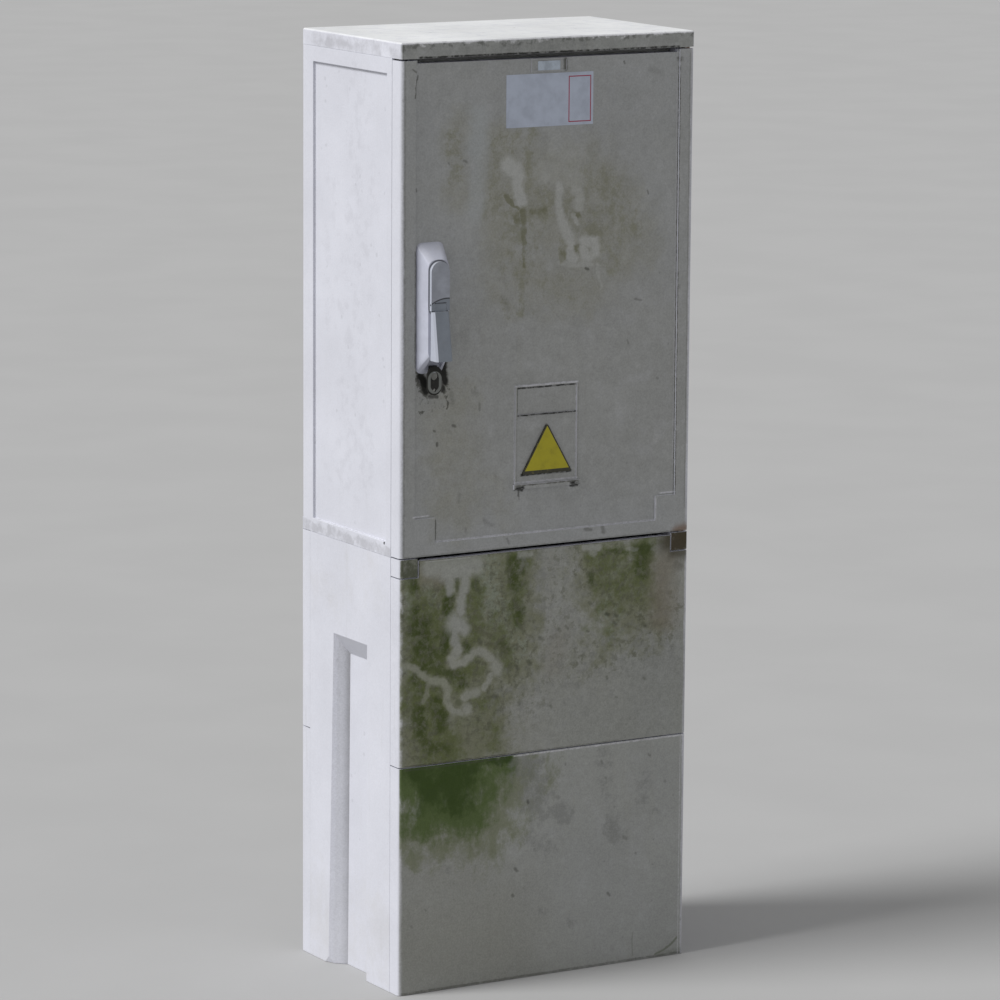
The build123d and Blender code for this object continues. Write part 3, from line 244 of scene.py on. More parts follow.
def agedPolyester(name, look):
    values = {**polyester, **look}
    material, n, shader, point, normal = newMaterial(name)
    nx, ny, nz = n.axes(normal)
    x, y, z = n.axes(point)
    facing = n.remap(n.times(ny, -1.0), 0.55, 0.92)
    leftward = n.remap(n.times(nx, -1.0), 0.55, 0.92)
    upward = n.remap(nz, 0.45, 0.85)
    upright = n.minus(1.0, upward)
    broad = n.noise(point, 9.0, 3.0, 0.55)
    medium = n.noise(point, 38.0, 4.0, 0.62)
    smear = n.noise(n.jitter(point, 45.0, 0.014), 110.0, 4.0, 0.7)
    fine = n.noise(point, 420.0, 2.0, 0.6)
    rain = n.noise(n.stretch(point, (70.0, 70.0, 5.0)), 1.0, 4.0, 0.6)

    # Film of dirt and painted shade on the front, thin at its corners
    wobble = n.times(n.minus(medium, 0.5), values["filmWobble"] * mm)
    filmFrom, filmTo = ((values["filmEdge"] + side * values["filmSoft"]) * mm for side in (-1, 1))
    edge = n.remap(n.plus(n.calc("ABSOLUTE", x), wobble), filmFrom, filmTo, 1.0, 0.12)
    film = n.times(n.times(facing, edge), n.remap(medium, 0.25, 0.55, 0.88, 1.0))
    colour = n.mix(film, values["clean"], values["front"])

    # Painted shade and dirt in the hollow of the side channel
    if "hollow" in values:
        inner, outer = (v * mm for v in values["hollowAcross"])
        front, rear = (v * mm for v in values["hollowAlong"])
        deep = n.times(n.remap(n.calc("ABSOLUTE", x), inner, outer, 1.0, 0.0), facing)
        deep = n.times(deep, n.between(y, front, rear, 0.01))
        colour = n.mix(n.times(deep, n.remap(medium, 0.25, 0.6, 0.72, 0.95)), colour, values["hollow"])

    # Dirt that has settled on faces that look up
    lain = n.remap(n.plus(n.times(smear, 0.4), n.times(medium, 0.6)), 0.46, 0.62)
    colour = n.mix(n.times(n.times(upward, lain), values["settled"]), colour, values["grime"])

    # Painted light: the upward faces of the lid are made lighter and less blue
    if "top" in values:
        colour = n.mix(n.times(upward, n.remap(lain, 0.0, 1.0, 0.95, 0.55)), colour, values["top"])

    # Faint rain streaks and small dark flecks on the uprights
    streaks = n.times(n.remap(rain, 0.56, 0.8), upright)
    colour = n.mix(n.times(streaks, values["streaks"]), colour, values["haze"])
    spots = n.cells(n.jitter(point, 160.0, 0.006), 62.0)
    lot = n.axes(spots.outputs["Color"])
    sparse = n.calc("LESS_THAN", lot[0], values["fleckShare"])
    size = n.times(lot[1], 0.14)
    dot = n.remap(spots.outputs["Distance"], size, n.plus(size, 0.12), 1.0, 0.0)
    fleck = n.times(sparse, dot)
    colour = n.mix(n.times(fleck, values["flecks"]), colour, values["grime"])

    # Stains and painted shade that belong to one place on the front or on the left side. Two drifts bend the
    # strokes of every layer, a wide one by its wander and a narrow one by its fray.
    drifts = {}
    for layer in values.get("stains", []):
        onSide = layer.get("side", False)
        plane = (0.0, 1.0, 1.0) if onSide else (1.0, 0.0, 1.0)
        if onSide not in drifts:
            flat = n.stretch(point, plane)
            drifts[onSide] = flat, n.drift(flat, values["wideDrift"], 1.0), n.drift(flat, values["narrowDrift"], 2.0)
        flat, wide, narrow = drifts[onSide]
        moved = n.shift(flat, wide, layer["wander"] * values["driftGain"] * mm)
        moved = n.shift(moved, narrow, layer["fray"] * values["driftGain"] * mm)
        cover = strokeMask(n, n.stretch(moved, plane), layer["strokes"], layer["soft"], onSide)
        if "broken" in layer:
            scale, depth, spread = layer["broken"]
            grain = n.stretch(flat, (1.0, 1.0, layer["drawn"])) if "drawn" in layer else flat
            crumbs = n.noise(n.shift(grain, wide, 0.5 / scale), scale, 4.0, 0.68)
            near = n.remap(cover, 0.02, 0.3)
            cover = n.calc("MULTIPLY_ADD", n.minus(crumbs, 0.5), depth, cover)
            cover = n.times(n.remap(cover, 0.5 - spread, 0.5 + spread), near)
        cover = n.times(cover, n.times(leftward if onSide else facing, layer["amount"]))
        tint = layer["colour"]
        colour = n.mix(cover, colour, values[tint] if isinstance(tint, str) else tint)

    # Lines along an edge, of dirt, wear, painted highlight and painted shade: (axis, place, half width, from, to,
    # amount, colour)
    for axis, place, half, low, high, amount, tint in values.get("lines", []):
        across, along = (x, z) if axis == "x" else (z, x)
        sway = n.times(n.minus(smear, 0.5), half * 1.2 * mm)
        gap = n.calc("ABSOLUTE", n.minus(n.plus(across, sway), place * mm))
        band = n.remap(gap, 0.3 * half * mm, half * mm, 1.0, 0.0)
        band = n.times(band, n.between(along, low * mm, high * mm, 0.002))
        band = n.times(band, n.remap(n.noise(point, 150.0, 3.0, 0.6), 0.35, 0.55, 0.4, 1.0))
        colour = n.mix(n.times(n.times(band, facing), amount), colour, values[tint])

    # Mottling at three sizes over everything
    shade = n.calc("MULTIPLY_ADD", n.minus(broad, 0.5), values["patches"] * 2, 1.0)
    for pattern, strength, elsewhere in ((smear, values["smears"], 0.6), (fine, values["grain"], 0.5)):
        depth = n.calc("MULTIPLY_ADD", facing, strength, strength * elsewhere)
        shade = n.calc("MULTIPLY_ADD", n.minus(pattern, 0.5), depth, shade)
    n.put(shader.inputs["Base Color"], n.shaded(colour, shade))
    n.put(shader.inputs["Roughness"], n.remap(medium, 0.3, 0.7, values["roughness"] - 0.07, values["roughness"] + 0.1))
    shader.inputs["Specular IOR Level"].default_value = values["specular"]
    n.bump(shader, n.plus(fine, n.times(smear, 0.8)), values["bump"], values["bumpHeight"])
    return material


doorStainsAndShade = [
    # faint warm haze over the middle and a cooler tone at top and foot
    {"colour": (0.375, 0.385, 0.395), "amount": 0.7, "soft": 0.95, "wander": 14, "fray": 5, "strokes": [
        (-190, 1180, 190, 1230, 70, 0.8), (150, 1160, 190, 1000, 50, 0.5), (-190, 1060, -120, 980, 40, 0.8),
        (-190, 630, 190, 625, 46, 0.7)]},
    {"colour": "haze", "amount": 0.46, "soft": 0.9, "wander": 14, "fray": 7, "broken": (26, 1.5, 0.5), "strokes": [
        (-140, 1190, -140, 1090, 26, 0.62), (-84, 1170, -70, 1010, 26, 0.85), (-40, 1110, 70, 1030, 66, 0.85),
        (60, 1110, 130, 1020, 50, 0.8), (-60, 980, 60, 960, 50, 0.66), (-150, 820, -140, 660, 40, 0.66),
        (-90, 700, -60, 640, 20, 0.5)]},
    {"colour": (0.20, 0.205, 0.185), "amount": 0.16, "soft": 0.95, "wander": 10, "fray": 6,
     "broken": (34, 3.4, 0.42), "strokes": [
        (-150, 1210, 150, 1180, 90, 0.34), (-130, 1060, 140, 1040, 110, 0.36), (-140, 880, 150, 860, 100, 0.3),
        (-150, 720, 150, 700, 90, 0.36)]},
    {"colour": (0.43, 0.435, 0.43), "amount": 0.3, "soft": 0.95, "wander": 8, "fray": 6,
     "broken": (60, 3.6, 0.34), "strokes": [
        (-150, 1210, 150, 1180, 90, 0.26), (-130, 1060, 140, 1040, 110, 0.26), (-140, 880, 150, 860, 100, 0.24),
        (-150, 720, 150, 700, 90, 0.26)]},
    # darker bands where water has run
    {"colour": (0.235, 0.235, 0.17), "amount": 0.62, "soft": 0.85, "wander": 5, "fray": 6,
     "broken": (75, 2.6, 0.34), "strokes": [
        (-85, 1165, -83, 1070, 10, 0.5), (-28, 1172, -30, 1095, 8, 0.6), (-60, 1062, -2, 1062, 14, 0.6),
        (-56, 1044, -50, 1030, 11, 0.66), (-50, 1160, -44, 1000, 40, 0.34), (40, 1070, 104, 1020, 40, 0.36),
        (-20, 960, 50, 950, 36, 0.24), (68, 1038, 80, 1030, 9, 0.85), (25, 1020, 26, 1000, 6, 0.85),
        (-12, 1090, 2, 1070, 12, 0.6), (90, 1100, 128, 1040, 24, 0.52), (-150, 1170, -146, 1120, 13, 0.52),
        (60, 1118, 70, 1100, 10, 0.5), (-38, 1000, -42, 925, 5, 0.6), (-70, 944, -60, 930, 8, 0.5),
        (100, 1010, 104, 980, 14, 0.42), (-100, 1080, -98, 1060, 6, 0.5), (30, 1080, 31, 1068, 6, 0.7)]},
    {"colour": (0.165, 0.165, 0.095), "amount": 0.72, "soft": 0.8, "wander": 2, "fray": 3,
     "broken": (70, 1.8, 0.36), "strokes": [
        (-66, 1088, -56, 1076, 3.4, 0.85), (-57, 1075, -47, 1071, 2.6, 0.85), (-40, 1070, -38, 1022, 4.4, 0.85),
        (-38, 1030, -38, 990, 2.6, 0.6), (-50, 1060, -46, 1052, 6, 0.6), (-26, 1064, -6, 1066, 5, 0.55),
        (42, 1058, 48, 1055, 4, 0.75), (66, 1004, 69, 1002, 3.4, 0.85), (46, 1014, 47, 1008, 5, 0.7),
        (23, 1006, 28, 1002, 4, 0.7)]},
    # paler places washed by the drips
    {"colour": (0.392, 0.410, 0.416), "amount": 0.85, "soft": 0.7, "wander": 4, "fray": 4, "strokes": [
        (-110, 1200, -111, 1150, 15, 0.9), (-108, 1150, -112, 1066, 12, 0.66)]},
    {"colour": (0.448, 0.454, 0.440), "amount": 0.92, "soft": 0.5, "wander": 3, "fray": 3.2, "strokes": [
        *path(11, 0.95, (-64, 1130), (-52, 1122), (-47, 1112)), *path(8.5, 0.95, (-50, 1104), (-45, 1088), (-41, 1080)),
        *path(6, 0.8, (17, 1098), (16, 1072), (22, 1050)), *path(7.5, 0.8, (24, 1046), (30, 1032), (37, 1020)),
        *path(5.5, 0.8, (37, 1018), (36, 1000), (42, 996)), *path(7, 0.6, (42, 1094), (50, 1086), (50, 1068)),
        (40, 1058, 46, 1044, 3, 0.6), *path(7, 0.85, (56, 1020), (72, 1018), (76, 1004), (60, 998), (56, 1010)),
        *path(3.5, 0.5, (26, 992), (44, 988), (68, 988)), (77, 988, 86, 954, 1.8, 0.4), (-12, 1118, 46, 1108, 14, 0.3),
        (20, 1150, 40, 1140, 20, 0.2)]},
    # painted shade and dirt round the handle's lower end and the eye
    {"colour": "grime", "amount": 0.8, "soft": 0.85, "wander": 2, "fray": 3, "broken": (150, 3.0, 0.26), "strokes": [
        (-198, 838, -190, 824, 6, 0.7), (-161, 834, -158, 822, 4, 0.6), (-203, 858, -202, 838, 2.6, 0.8),
        (-159, 868, -156, 832, 2.6, 0.7), (-199, 805, -194, 803, 2.4, 0.7), (-157, 816, -156, 804, 1.8, 0.8),
        (-203, 820, -162, 802, 10, 0.2)]},
    {"colour": "grime", "amount": 0.5, "soft": 0.9, "wander": 1, "fray": 2.5, "strokes": [
        (-106, 809, -105, 800, 1.8, 0.8), (-132, 1139, -128, 1137, 1.8, 1.0), (-156, 1136, -155, 1135, 1.4, 0.8),
        (-96, 648, -92, 644, 3.4, 0.5), (-86, 641, -83, 640, 2.4, 0.5), (-137, 686, -137, 676, 3, 0.5),
        (-126, 640, -126, 635, 2, 0.6), (-150, 826, -148, 812, 3, 0.5), (160, 1250, 176, 1245, 4, 0.3),
        (-118, 828, -110, 822, 3, 0.4), (-70, 950, -62, 935, 4, 0.3)]},
    # black dirt and painted shade round the eye, and painted shadow and dirt beneath the ends of the plate's lower
    # ledge
    {"colour": "soot", "amount": 1.0, "soft": 0.5, "wander": 1.5, "fray": 2.5, "strokes": [
        (-49, 686.5, -38, 686, 2.4, 0.85), (39, 686, 49, 685.5, 2.4, 0.85), (-44, 684, -44, 678, 1.4, 0.5),
        (-198, 854, -190, 840, 5.5, 1.0), (-195, 846, -189, 831, 5, 0.95), (-162, 866, -160, 844, 5.5, 1.0),
        (-164, 838, -163, 832, 3.5, 0.8), (-188, 866, -166, 866, 7, 1.0), (-184, 824, -172, 822, 2.6, 0.7)]},
    # small dirt marks, with a painted shadow down the left corner block's edge
    {"colour": "grime", "amount": 0.8, "soft": 0.7, "wander": 1, "fray": 1.5, "strokes": [
        *path(1.0, 0.9, (-208, 1226), (-207, 1240), (-203, 1256)), (-212, 1264, -206, 1260, 1.3, 0.7),
        (118, 1262, 119, 1259, 1.3, 0.7), (-176, 777, -174, 776, 1.6, 0.75), (-171, 760, -171, 757, 1.8, 0.95),
        (-147, 782, -144, 781, 2.0, 0.8), (25, 1268, 26, 1256, 3.0, 0.9), (-16, 1192, -12, 1190, 1.2, 0.8),
        (-206, 1105, -205, 1102, 1.4, 0.7), (61, 983, 64, 981, 1.8, 0.9), (-174, 655, -174, 630, 1.5, 0.85),
        (62, 623, 72, 621, 2.4, 0.6), (90, 622, 92, 616, 3.0, 0.6), (-62, 620, -60, 614, 1.6, 0.45),
        (140, 936, 150, 934, 1.5, 0.5), (128, 880, 130, 876, 1.4, 0.4), (158, 1084, 160, 1080, 1.2, 0.6),
        (-44, 690, -43, 672, 1.2, 0.4)]},
    {"colour": "rust", "amount": 0.75, "soft": 0.9, "wander": 3, "fray": 3, "strokes": [(212, 608, 230, 612, 7, 1.0)]},
]
# Painted highlights: the light lines along the lower step and its corner blocks, and on the plate frame's top rib, rib
# edges and lower ledge. Painted shadows: the dark lines on the left corner block's edge, beside the handle's left side,
# under and beside the ribs, under the ledge and its ends, beneath the triangle and along the gap under the lid
doorLines = [
    ("x", 207.0, 2.0, 660, 1252, 0.85, "grime"), ("x", 204.4, 0.9, 700, 1240, 0.35, "worn"),
    ("z", 626.0, 1.5, -172, 176, 0.75, "worn"), ("z", 662.0, 1.7, -210, -183, 0.8, "worn"),
    ("z", 662.5, 1.7, 183, 208, 0.8, "worn"), ("x", -174.6, 1.3, 628, 655, 0.6, "grime"),
    ("x", 176.5, 1.4, 628, 656, 0.7, "worn"), ("x", -207.0, 2.2, 866, 1022, 0.62, "grime"),
    ("x", -224.0, 2.4, 606, 1276, 0.30, "grime"), ("z", 828.6, 1.9, -51, 49, 0.85, "worn"),
    ("z", 825.2, 1.8, -47, 47, 0.95, "soot"), ("z", 787.9, 1.9, -47, 47, 0.95, "soot"),
    ("x", -46.4, 1.5, 790, 826, 0.7, "grime"), ("x", -51.2, 1.0, 694, 828, 0.4, "worn"),
    ("x", -47.2, 1.2, 694, 788, 0.5, "grime"), ("x", 46.8, 1.4, 694, 826, 0.55, "worn"),
    ("x", 49.6, 1.0, 694, 826, 0.4, "grime"), ("z", 695.6, 1.8, -51, 50, 0.7, "worn"),
    ("z", 692.0, 1.6, -51, 50, 0.75, "grime"), ("z", 689.6, 2.4, -51, -37, 0.95, "soot"),
    ("z", 689.6, 2.4, 36, 50, 0.95, "soot"), ("z", 706.0, 2.9, -40.5, 40.5, 0.97, "soot"),
    ("z", 1274.5, 2.0, -203, 205, 0.97, "soot"), ("z", 1262.0, 5.0, 203, 212, 0.6, "grime"),
    ("z", 608.0, 1.6, -222, 222, 0.35, "grime"), ("x", 223.0, 1.2, 640, 1270, 0.3, "grime"),
]
upperCoverStains = [
    {"colour": (0.285, 0.295, 0.285), "amount": 0.7, "soft": 0.9, "wander": 8, "fray": 4, "strokes": [
        (180, 400, 190, 340, 70, 0.8), (60, 350, 120, 345, 60, 0.6)]},
    # thin brown-green veil over the whole upper part
    {"colour": (0.205, 0.212, 0.140), "amount": 0.92, "soft": 0.9, "wander": 10, "fray": 5,
     "broken": (36, 2.0, 0.42), "strokes": [
        (-64, 560, -62, 430, 24, 0.86), (-180, 590, -185, 340, 52, 0.95), (-120, 560, -110, 350, 56, 0.92),
        (-75, 570, -55, 450, 44, 0.9), (85, 570, 130, 500, 48, 0.88), (90, 460, 170, 478, 36, 0.6),
        (-30, 590, -26, 500, 22, 0.72), (-200, 350, -90, 335, 36, 0.85), (60, 440, 70, 430, 30, 0.3)]},
    # pale blue-green bloom
    {"colour": (0.275, 0.305, 0.245), "amount": 0.75, "soft": 0.85, "wander": 6, "fray": 5,
     "broken": (100, 2.8, 0.28), "strokes": [
        (-96, 582, -82, 520, 20, 0.62), (-70, 530, -62, 515, 12, 0.55), (-214, 570, -206, 500, 11, 0.62),
        (-186, 566, -178, 540, 9, 0.6), (-60, 500, -40, 460, 16, 0.4), (110, 580, 104, 480, 26, 0.36),
        (-215, 470, -212, 410, 8, 0.4)]},
    {"colour": "algae", "amount": 0.86, "soft": 0.85, "wander": 7, "fray": 5, "broken": (44, 1.9, 0.38), "strokes": [
        (-190, 520, -190, 440, 32, 0.92), (-120, 560, -112, 490, 20, 0.74), (-118, 450, -140, 430, 20, 0.8),
        (-156, 560, -158, 480, 14, 0.8), (-46, 592, -48, 510, 20, 0.74), (-80, 500, -68, 450, 20, 0.62),
        (84, 585, 96, 545, 22, 0.72), (120, 580, 124, 530, 22, 0.7), (156, 592, 156, 540, 22, 0.9),
        (-195, 415, -165, 335, 34, 0.88), (-105, 400, -84, 350, 30, 0.42), (-215, 590, -206, 550, 14, 0.66),
        (100, 520, 170, 512, 20, 0.5), (80, 480, 110, 470, 24, 0.36)]},
    {"colour": "darkAlgae", "amount": 0.82, "soft": 0.85, "wander": 6, "fray": 4,
     "broken": (46, 1.7, 0.40), "strokes": [
        (-205, 536, -200, 520, 9, 0.7), (-206, 440, -196, 420, 10, 0.6), (-186, 430, -168, 420, 8, 0.55),
        (-152, 544, -155, 528, 9, 1.0), (-156, 494, -160, 478, 9, 1.0), (-198, 512, -190, 466, 20, 0.84),
        (-172, 470, -168, 450, 11, 0.6), (-123, 480, -120, 470, 7, 0.85), (-150, 444, -130, 430, 11, 0.72),
        (-200, 392, -198, 368, 11, 0.85), (-172, 405, -164, 372, 13, 0.66), (-45, 588, -46, 556, 14, 0.72),
        (-48, 525, -42, 505, 11, 0.72), (146, 588, 166, 586, 8, 0.9), (154, 582, 156, 556, 14, 0.8),
        (-112, 562, -106, 556, 8, 0.6), (-72, 478, -64, 466, 9, 0.6), (96, 588, 126, 585, 5, 0.7),
        (-216, 596, -208, 566, 8, 0.7), (72, 560, 74, 545, 7, 0.6), (-190, 350, -160, 335, 13, 0.55)]},
    # dark crumbs of dead growth, fewer and fainter to the right and below
    {"colour": (0.125, 0.130, 0.088), "amount": 0.72, "soft": 0.9, "wander": 5, "fray": 5,
     "broken": (95, 4.2, 0.30), "strokes": [
        (-60, 590, -60, 430, 50, 0.34), (80, 580, 180, 490, 50, 0.36), (-150, 560, -100, 400, 60, 0.33),
        (-200, 560, -190, 340, 40, 0.33), (20, 580, 20, 430, 40, 0.20), (60, 440, 150, 450, 34, 0.24),
        (-70, 400, -20, 390, 40, 0.19), (90, 400, 170, 420, 34, 0.10)]},
    {"colour": (0.262, 0.272, 0.205), "amount": 0.3, "soft": 0.9, "wander": 5, "fray": 5,
     "broken": (82, 3.8, 0.3), "strokes": [
        (-60, 590, -60, 430, 50, 0.32), (80, 580, 180, 490, 50, 0.32), (-150, 560, -100, 400, 60, 0.3),
        (-200, 560, -190, 340, 40, 0.32)]},
    {"colour": (0.235, 0.24, 0.23), "amount": 0.5, "soft": 0.9, "wander": 5, "fray": 5,
     "broken": (70, 3.6, 0.34), "strokes": [
        (0, 590, 40, 440, 50, 0.34), (40, 460, 190, 440, 46, 0.32), (-60, 400, 80, 400, 46, 0.28),
        (60, 370, 150, 360, 30, 0.18)]},
    {"colour": (0.085, 0.09, 0.062), "amount": 0.85, "soft": 0.8, "wander": 1, "fray": 2, "strokes": [
        (98, 501, 101, 499, 2.6, 1.0), (112, 498, 116, 496, 2.2, 0.8), (111, 487, 113, 485, 2.4, 0.7),
        (157, 481, 162, 478, 2.6, 0.7), (176, 482, 180, 480, 2.2, 0.6), (66, 479, 68, 478, 1.8, 0.7),
        (70, 520, 73, 517, 2.2, 0.55), (-10, 478, -6, 476, 2.4, 0.6), (99, 412, 100, 409, 1.6, 0.6),
        (160, 404, 162, 402, 2.0, 0.5), (-28, 446, -24, 442, 2.6, 0.6), (-48, 442, -44, 438, 2.4, 0.6),
        (8, 380, 9, 378, 1.8, 0.5), (-42, 392, -40, 388, 2.2, 0.5), (114, 382, 116, 381, 1.6, 0.5),
        (-66, 510, -62, 506, 2.0, 0.5), (-106, 484, -103, 480, 3.0, 0.6), (-110, 455, -106, 453, 2.4, 0.6),
        (-82, 404, -78, 402, 3.2, 0.6), (32, 489, 36, 486, 1.8, 0.5), (22, 486, 24, 484, 1.8, 0.5)]},
    # diagonal strokes of the brown growth
    {"colour": (0.130, 0.132, 0.082), "amount": 0.62, "soft": 0.8, "wander": 3, "fray": 3, "strokes": [
        (-118, 508, -96, 488, 2.2, 0.8), (-106, 500, -88, 486, 2.4, 0.8), (-92, 476, -66, 468, 2.6, 0.8),
        (-72, 482, -62, 462, 3.2, 0.7), (-114, 524, -100, 512, 2.0, 0.7), (-84, 462, -70, 446, 2.2, 0.6),
        (-40, 494, -22, 480, 1.6, 0.6), (-60, 436, -58, 420, 1.8, 0.6), (104, 466, 128, 458, 1.8, 0.5),
        (136, 478, 156, 468, 1.6, 0.5)]},
    {"colour": (0.225, 0.205, 0.160), "amount": 0.8, "soft": 0.9, "wander": 6, "fray": 5, "strokes": [
        (190, 560, 188, 490, 20, 0.95), (205, 520, 200, 480, 14, 0.6), (20, 470, 14, 440, 16, 0.35),
        (-190, 580, -170, 575, 12, 0.7)]},
    # soft brown run-off round the right bolt lug
    {"colour": (0.055, 0.046, 0.022), "amount": 0.88, "soft": 0.8, "wander": 3, "fray": 3, "strokes": [
        (198, 594, 232, 590, 17, 1.0), (206, 578, 226, 576, 11, 0.85), (212, 560, 216, 556, 6, 0.4)]},
    # clean patch and trails where something has crept over the growth
    {"colour": "washed", "amount": 0.9, "soft": 0.6, "wander": 3, "fray": 3, "strokes": [
        (-184, 590, -112, 588, 13, 0.9), (-160, 582, -126, 584, 12, 1.0), (-154, 576, -152, 556, 7, 0.95),
        (-128, 574, -129, 556, 7.5, 0.95), (62, 597, 84, 595, 5, 0.85), (74, 591, 78, 590, 6, 0.6),
        (-42, 597, -26, 596, 4.5, 0.7), (20, 560, 18, 500, 6, 0.25), (132, 590, 146, 588, 3, 0.4),
        *path(7, 0.95, (-131, 556), (-133, 540), (-134, 525)), (-144, 510, -138, 508, 14, 1.0),
        (-131, 505, -128, 502, 9, 1.0), *path(7, 0.95, (-143, 498), (-142, 485), (-138, 474))]},
    {"colour": (0.352, 0.358, 0.318), "amount": 0.92, "soft": 0.6, "wander": 3, "fray": 3, "strokes": [
        *path(6.4, 0.95, (-141, 470), (-150, 463), (-146, 456), (-130, 456), (-118, 462)),
        *path(6, 0.9, (-114, 466), (-104, 468), (-94, 461), (-86, 456)), (-80, 446, -77, 441, 9, 0.95),
        *path(4.2, 0.9, (-86, 434), (-90, 424), (-98, 416)), *path(6, 0.85, (-108, 412), (-122, 410), (-128, 406)),
        (-126, 390, -124, 388, 7.5, 0.9), *path(4.4, 0.8, (-152, 398), (-146, 390), (-134, 385))]},
    {"colour": (0.300, 0.308, 0.250), "amount": 0.9, "soft": 0.6, "wander": 3, "fray": 3.5, "strokes": [
        *path(4.6, 0.95, (-222, 460), (-208, 456), (-197, 446), (-188, 440), (-180, 436)),
        *path(5.6, 0.95, (-180, 434), (-165, 433), (-158, 427), (-153, 418)),
        *path(5.2, 0.95, (-155, 412), (-157, 404), (-152, 398)),
        *path(3.4, 0.6, (-182, 432), (-186, 416), (-192, 408))]},
    {"colour": (0.10, 0.115, 0.06), "amount": 0.7, "soft": 0.7, "wander": 2, "fray": 2, "strokes": [
        (-141, 572, -141, 556, 2.8, 0.85), (-139, 402, -135, 400, 4, 0.8)]},
]
lowerCoverStains = [
    {"colour": (0.288, 0.290, 0.262), "amount": 0.85, "soft": 0.95, "wander": 10, "fray": 4, "strokes": [
        (-200, 70, -80, 60, 90, 0.9), (-200, 170, -120, 160, 50, 0.7)]},
    {"colour": (0.31, 0.32, 0.325), "amount": 0.6, "soft": 0.9, "wander": 14, "fray": 5, "strokes": [
        (80, 120, 180, 60, 90, 0.6), (190, 260, 200, 160, 50, 0.4)]},
    {"colour": (0.200, 0.215, 0.140), "amount": 0.86, "soft": 0.95, "wander": 12, "fray": 8,
     "drawn": 0.7, "broken": (46, 2.4, 0.42), "strokes": [
        (-200, 290, -70, 285, 60, 1.0), (-192, 240, -90, 232, 54, 1.0), (-200, 206, -80, 204, 30, 0.74),
        (-60, 300, 10, 290, 28, 0.42)]},
    {"colour": (0.083, 0.126, 0.032), "amount": 0.9, "soft": 0.95, "wander": 10, "fray": 8,
     "drawn": 0.7, "broken": (46, 1.9, 0.42), "strokes": [
        (-206, 298, -106, 298, 44, 0.97), (-188, 254, -118, 250, 38, 0.95), (-172, 228, -124, 226, 18, 0.6),
        (-92, 300, -60, 306, 18, 0.72), (-150, 225, -110, 222, 16, 0.5)]},
    {"colour": (0.036, 0.066, 0.008), "amount": 0.88, "soft": 0.95, "wander": 9, "fray": 8,
     "drawn": 0.7, "broken": (44, 2.0, 0.44), "strokes": [
        (-206, 310, -116, 310, 17, 0.88), (-174, 286, -138, 280, 30, 0.95), (-104, 313, -60, 314, 6, 0.85),
        (-158, 260, -148, 254, 12, 0.55)]},
    {"colour": (0.225, 0.23, 0.222), "amount": 0.62, "soft": 0.9, "wander": 6, "fray": 5,
     "broken": (60, 2.4, 0.40), "strokes": [
        (-30, 300, -8, 240, 26, 0.66), (12, 230, 36, 222, 11, 0.95), (0, 222, 30, 226, 8, 0.6),
        (112, 202, 118, 190, 15, 0.85), (95, 300, 105, 235, 14, 0.45), (165, 262, 158, 235, 14, 0.45),
        (-50, 306, -10, 306, 12, 0.6), (-20, 200, 10, 180, 20, 0.45), (-158, 170, -154, 166, 6, 0.7),
        (180, 206, 190, 200, 10, 0.3), (40, 74, 48, 66, 7, 0.5), (-4, 92, 6, 90, 5, 0.5)]},
    {"colour": "grime", "amount": 0.66, "soft": 0.8, "wander": 1, "fray": 2, "strokes": [
        (-27, 251, -25, 248, 2.2, 1.0), (-45, 157, -43, 154, 2.4, 0.9), (-50, 119, -49, 117, 1.8, 0.8),
        (104, 103, 108, 99, 1.6, 0.8), (130, 180, 134, 178, 2.6, 0.6), (99, 269, 101, 266, 1.6, 0.5),
        (169, 294, 172, 292, 1.6, 0.6), (150, 156, 151, 154, 1.4, 0.5), (92, 293, 94, 291, 1.8, 0.5),
        (-210, 96, -208, 94, 1.6, 0.4), (-188, 117, -187, 115, 1.2, 0.5), (20, 250, 23, 248, 2.4, 0.4)]},
    {"colour": (0.13, 0.15, 0.10), "amount": 0.75, "soft": 0.8, "wander": 1.5, "fray": 1.5, "strokes": [
        *path(1.5, 0.9, (184, 4), (200, 10), (212, 17), (220, 24)), *path(1.1, 0.45, (147, 40), (146, 26), (147, 8)),
        (190, 4, 226, 6, 4.0, 0.35)]},
    {"colour": (0.40, 0.41, 0.39), "amount": 0.5, "soft": 0.8, "wander": 1, "fray": 2, "strokes": [
        (-170, 176, -146, 177, 1.4, 0.7), (-35, 150, -34, 130, 1.6, 0.5)]},
]
# Painted shadow and dirt along the left lug's right and lower edges, and a painted highlight along the cover's top edge
# at z 599.5; the other lines are dirt along the seams
coverLines = [
    ("z", 601.6, 1.1, -222, 222, 0.55, "grime"), ("x", -200.5, 1.8, 578, 603, 0.95, "soot"),
    ("z", 579.6, 1.8, -230, -200, 0.95, "soot"), ("z", 599.5, 1.0, -190, -120, 0.3, "worn"),
    ("z", 320.2, 1.1, -222, -20, 0.7, "grime"), ("z", 320.0, 0.8, -20, 120, 0.6, "grime"),
]
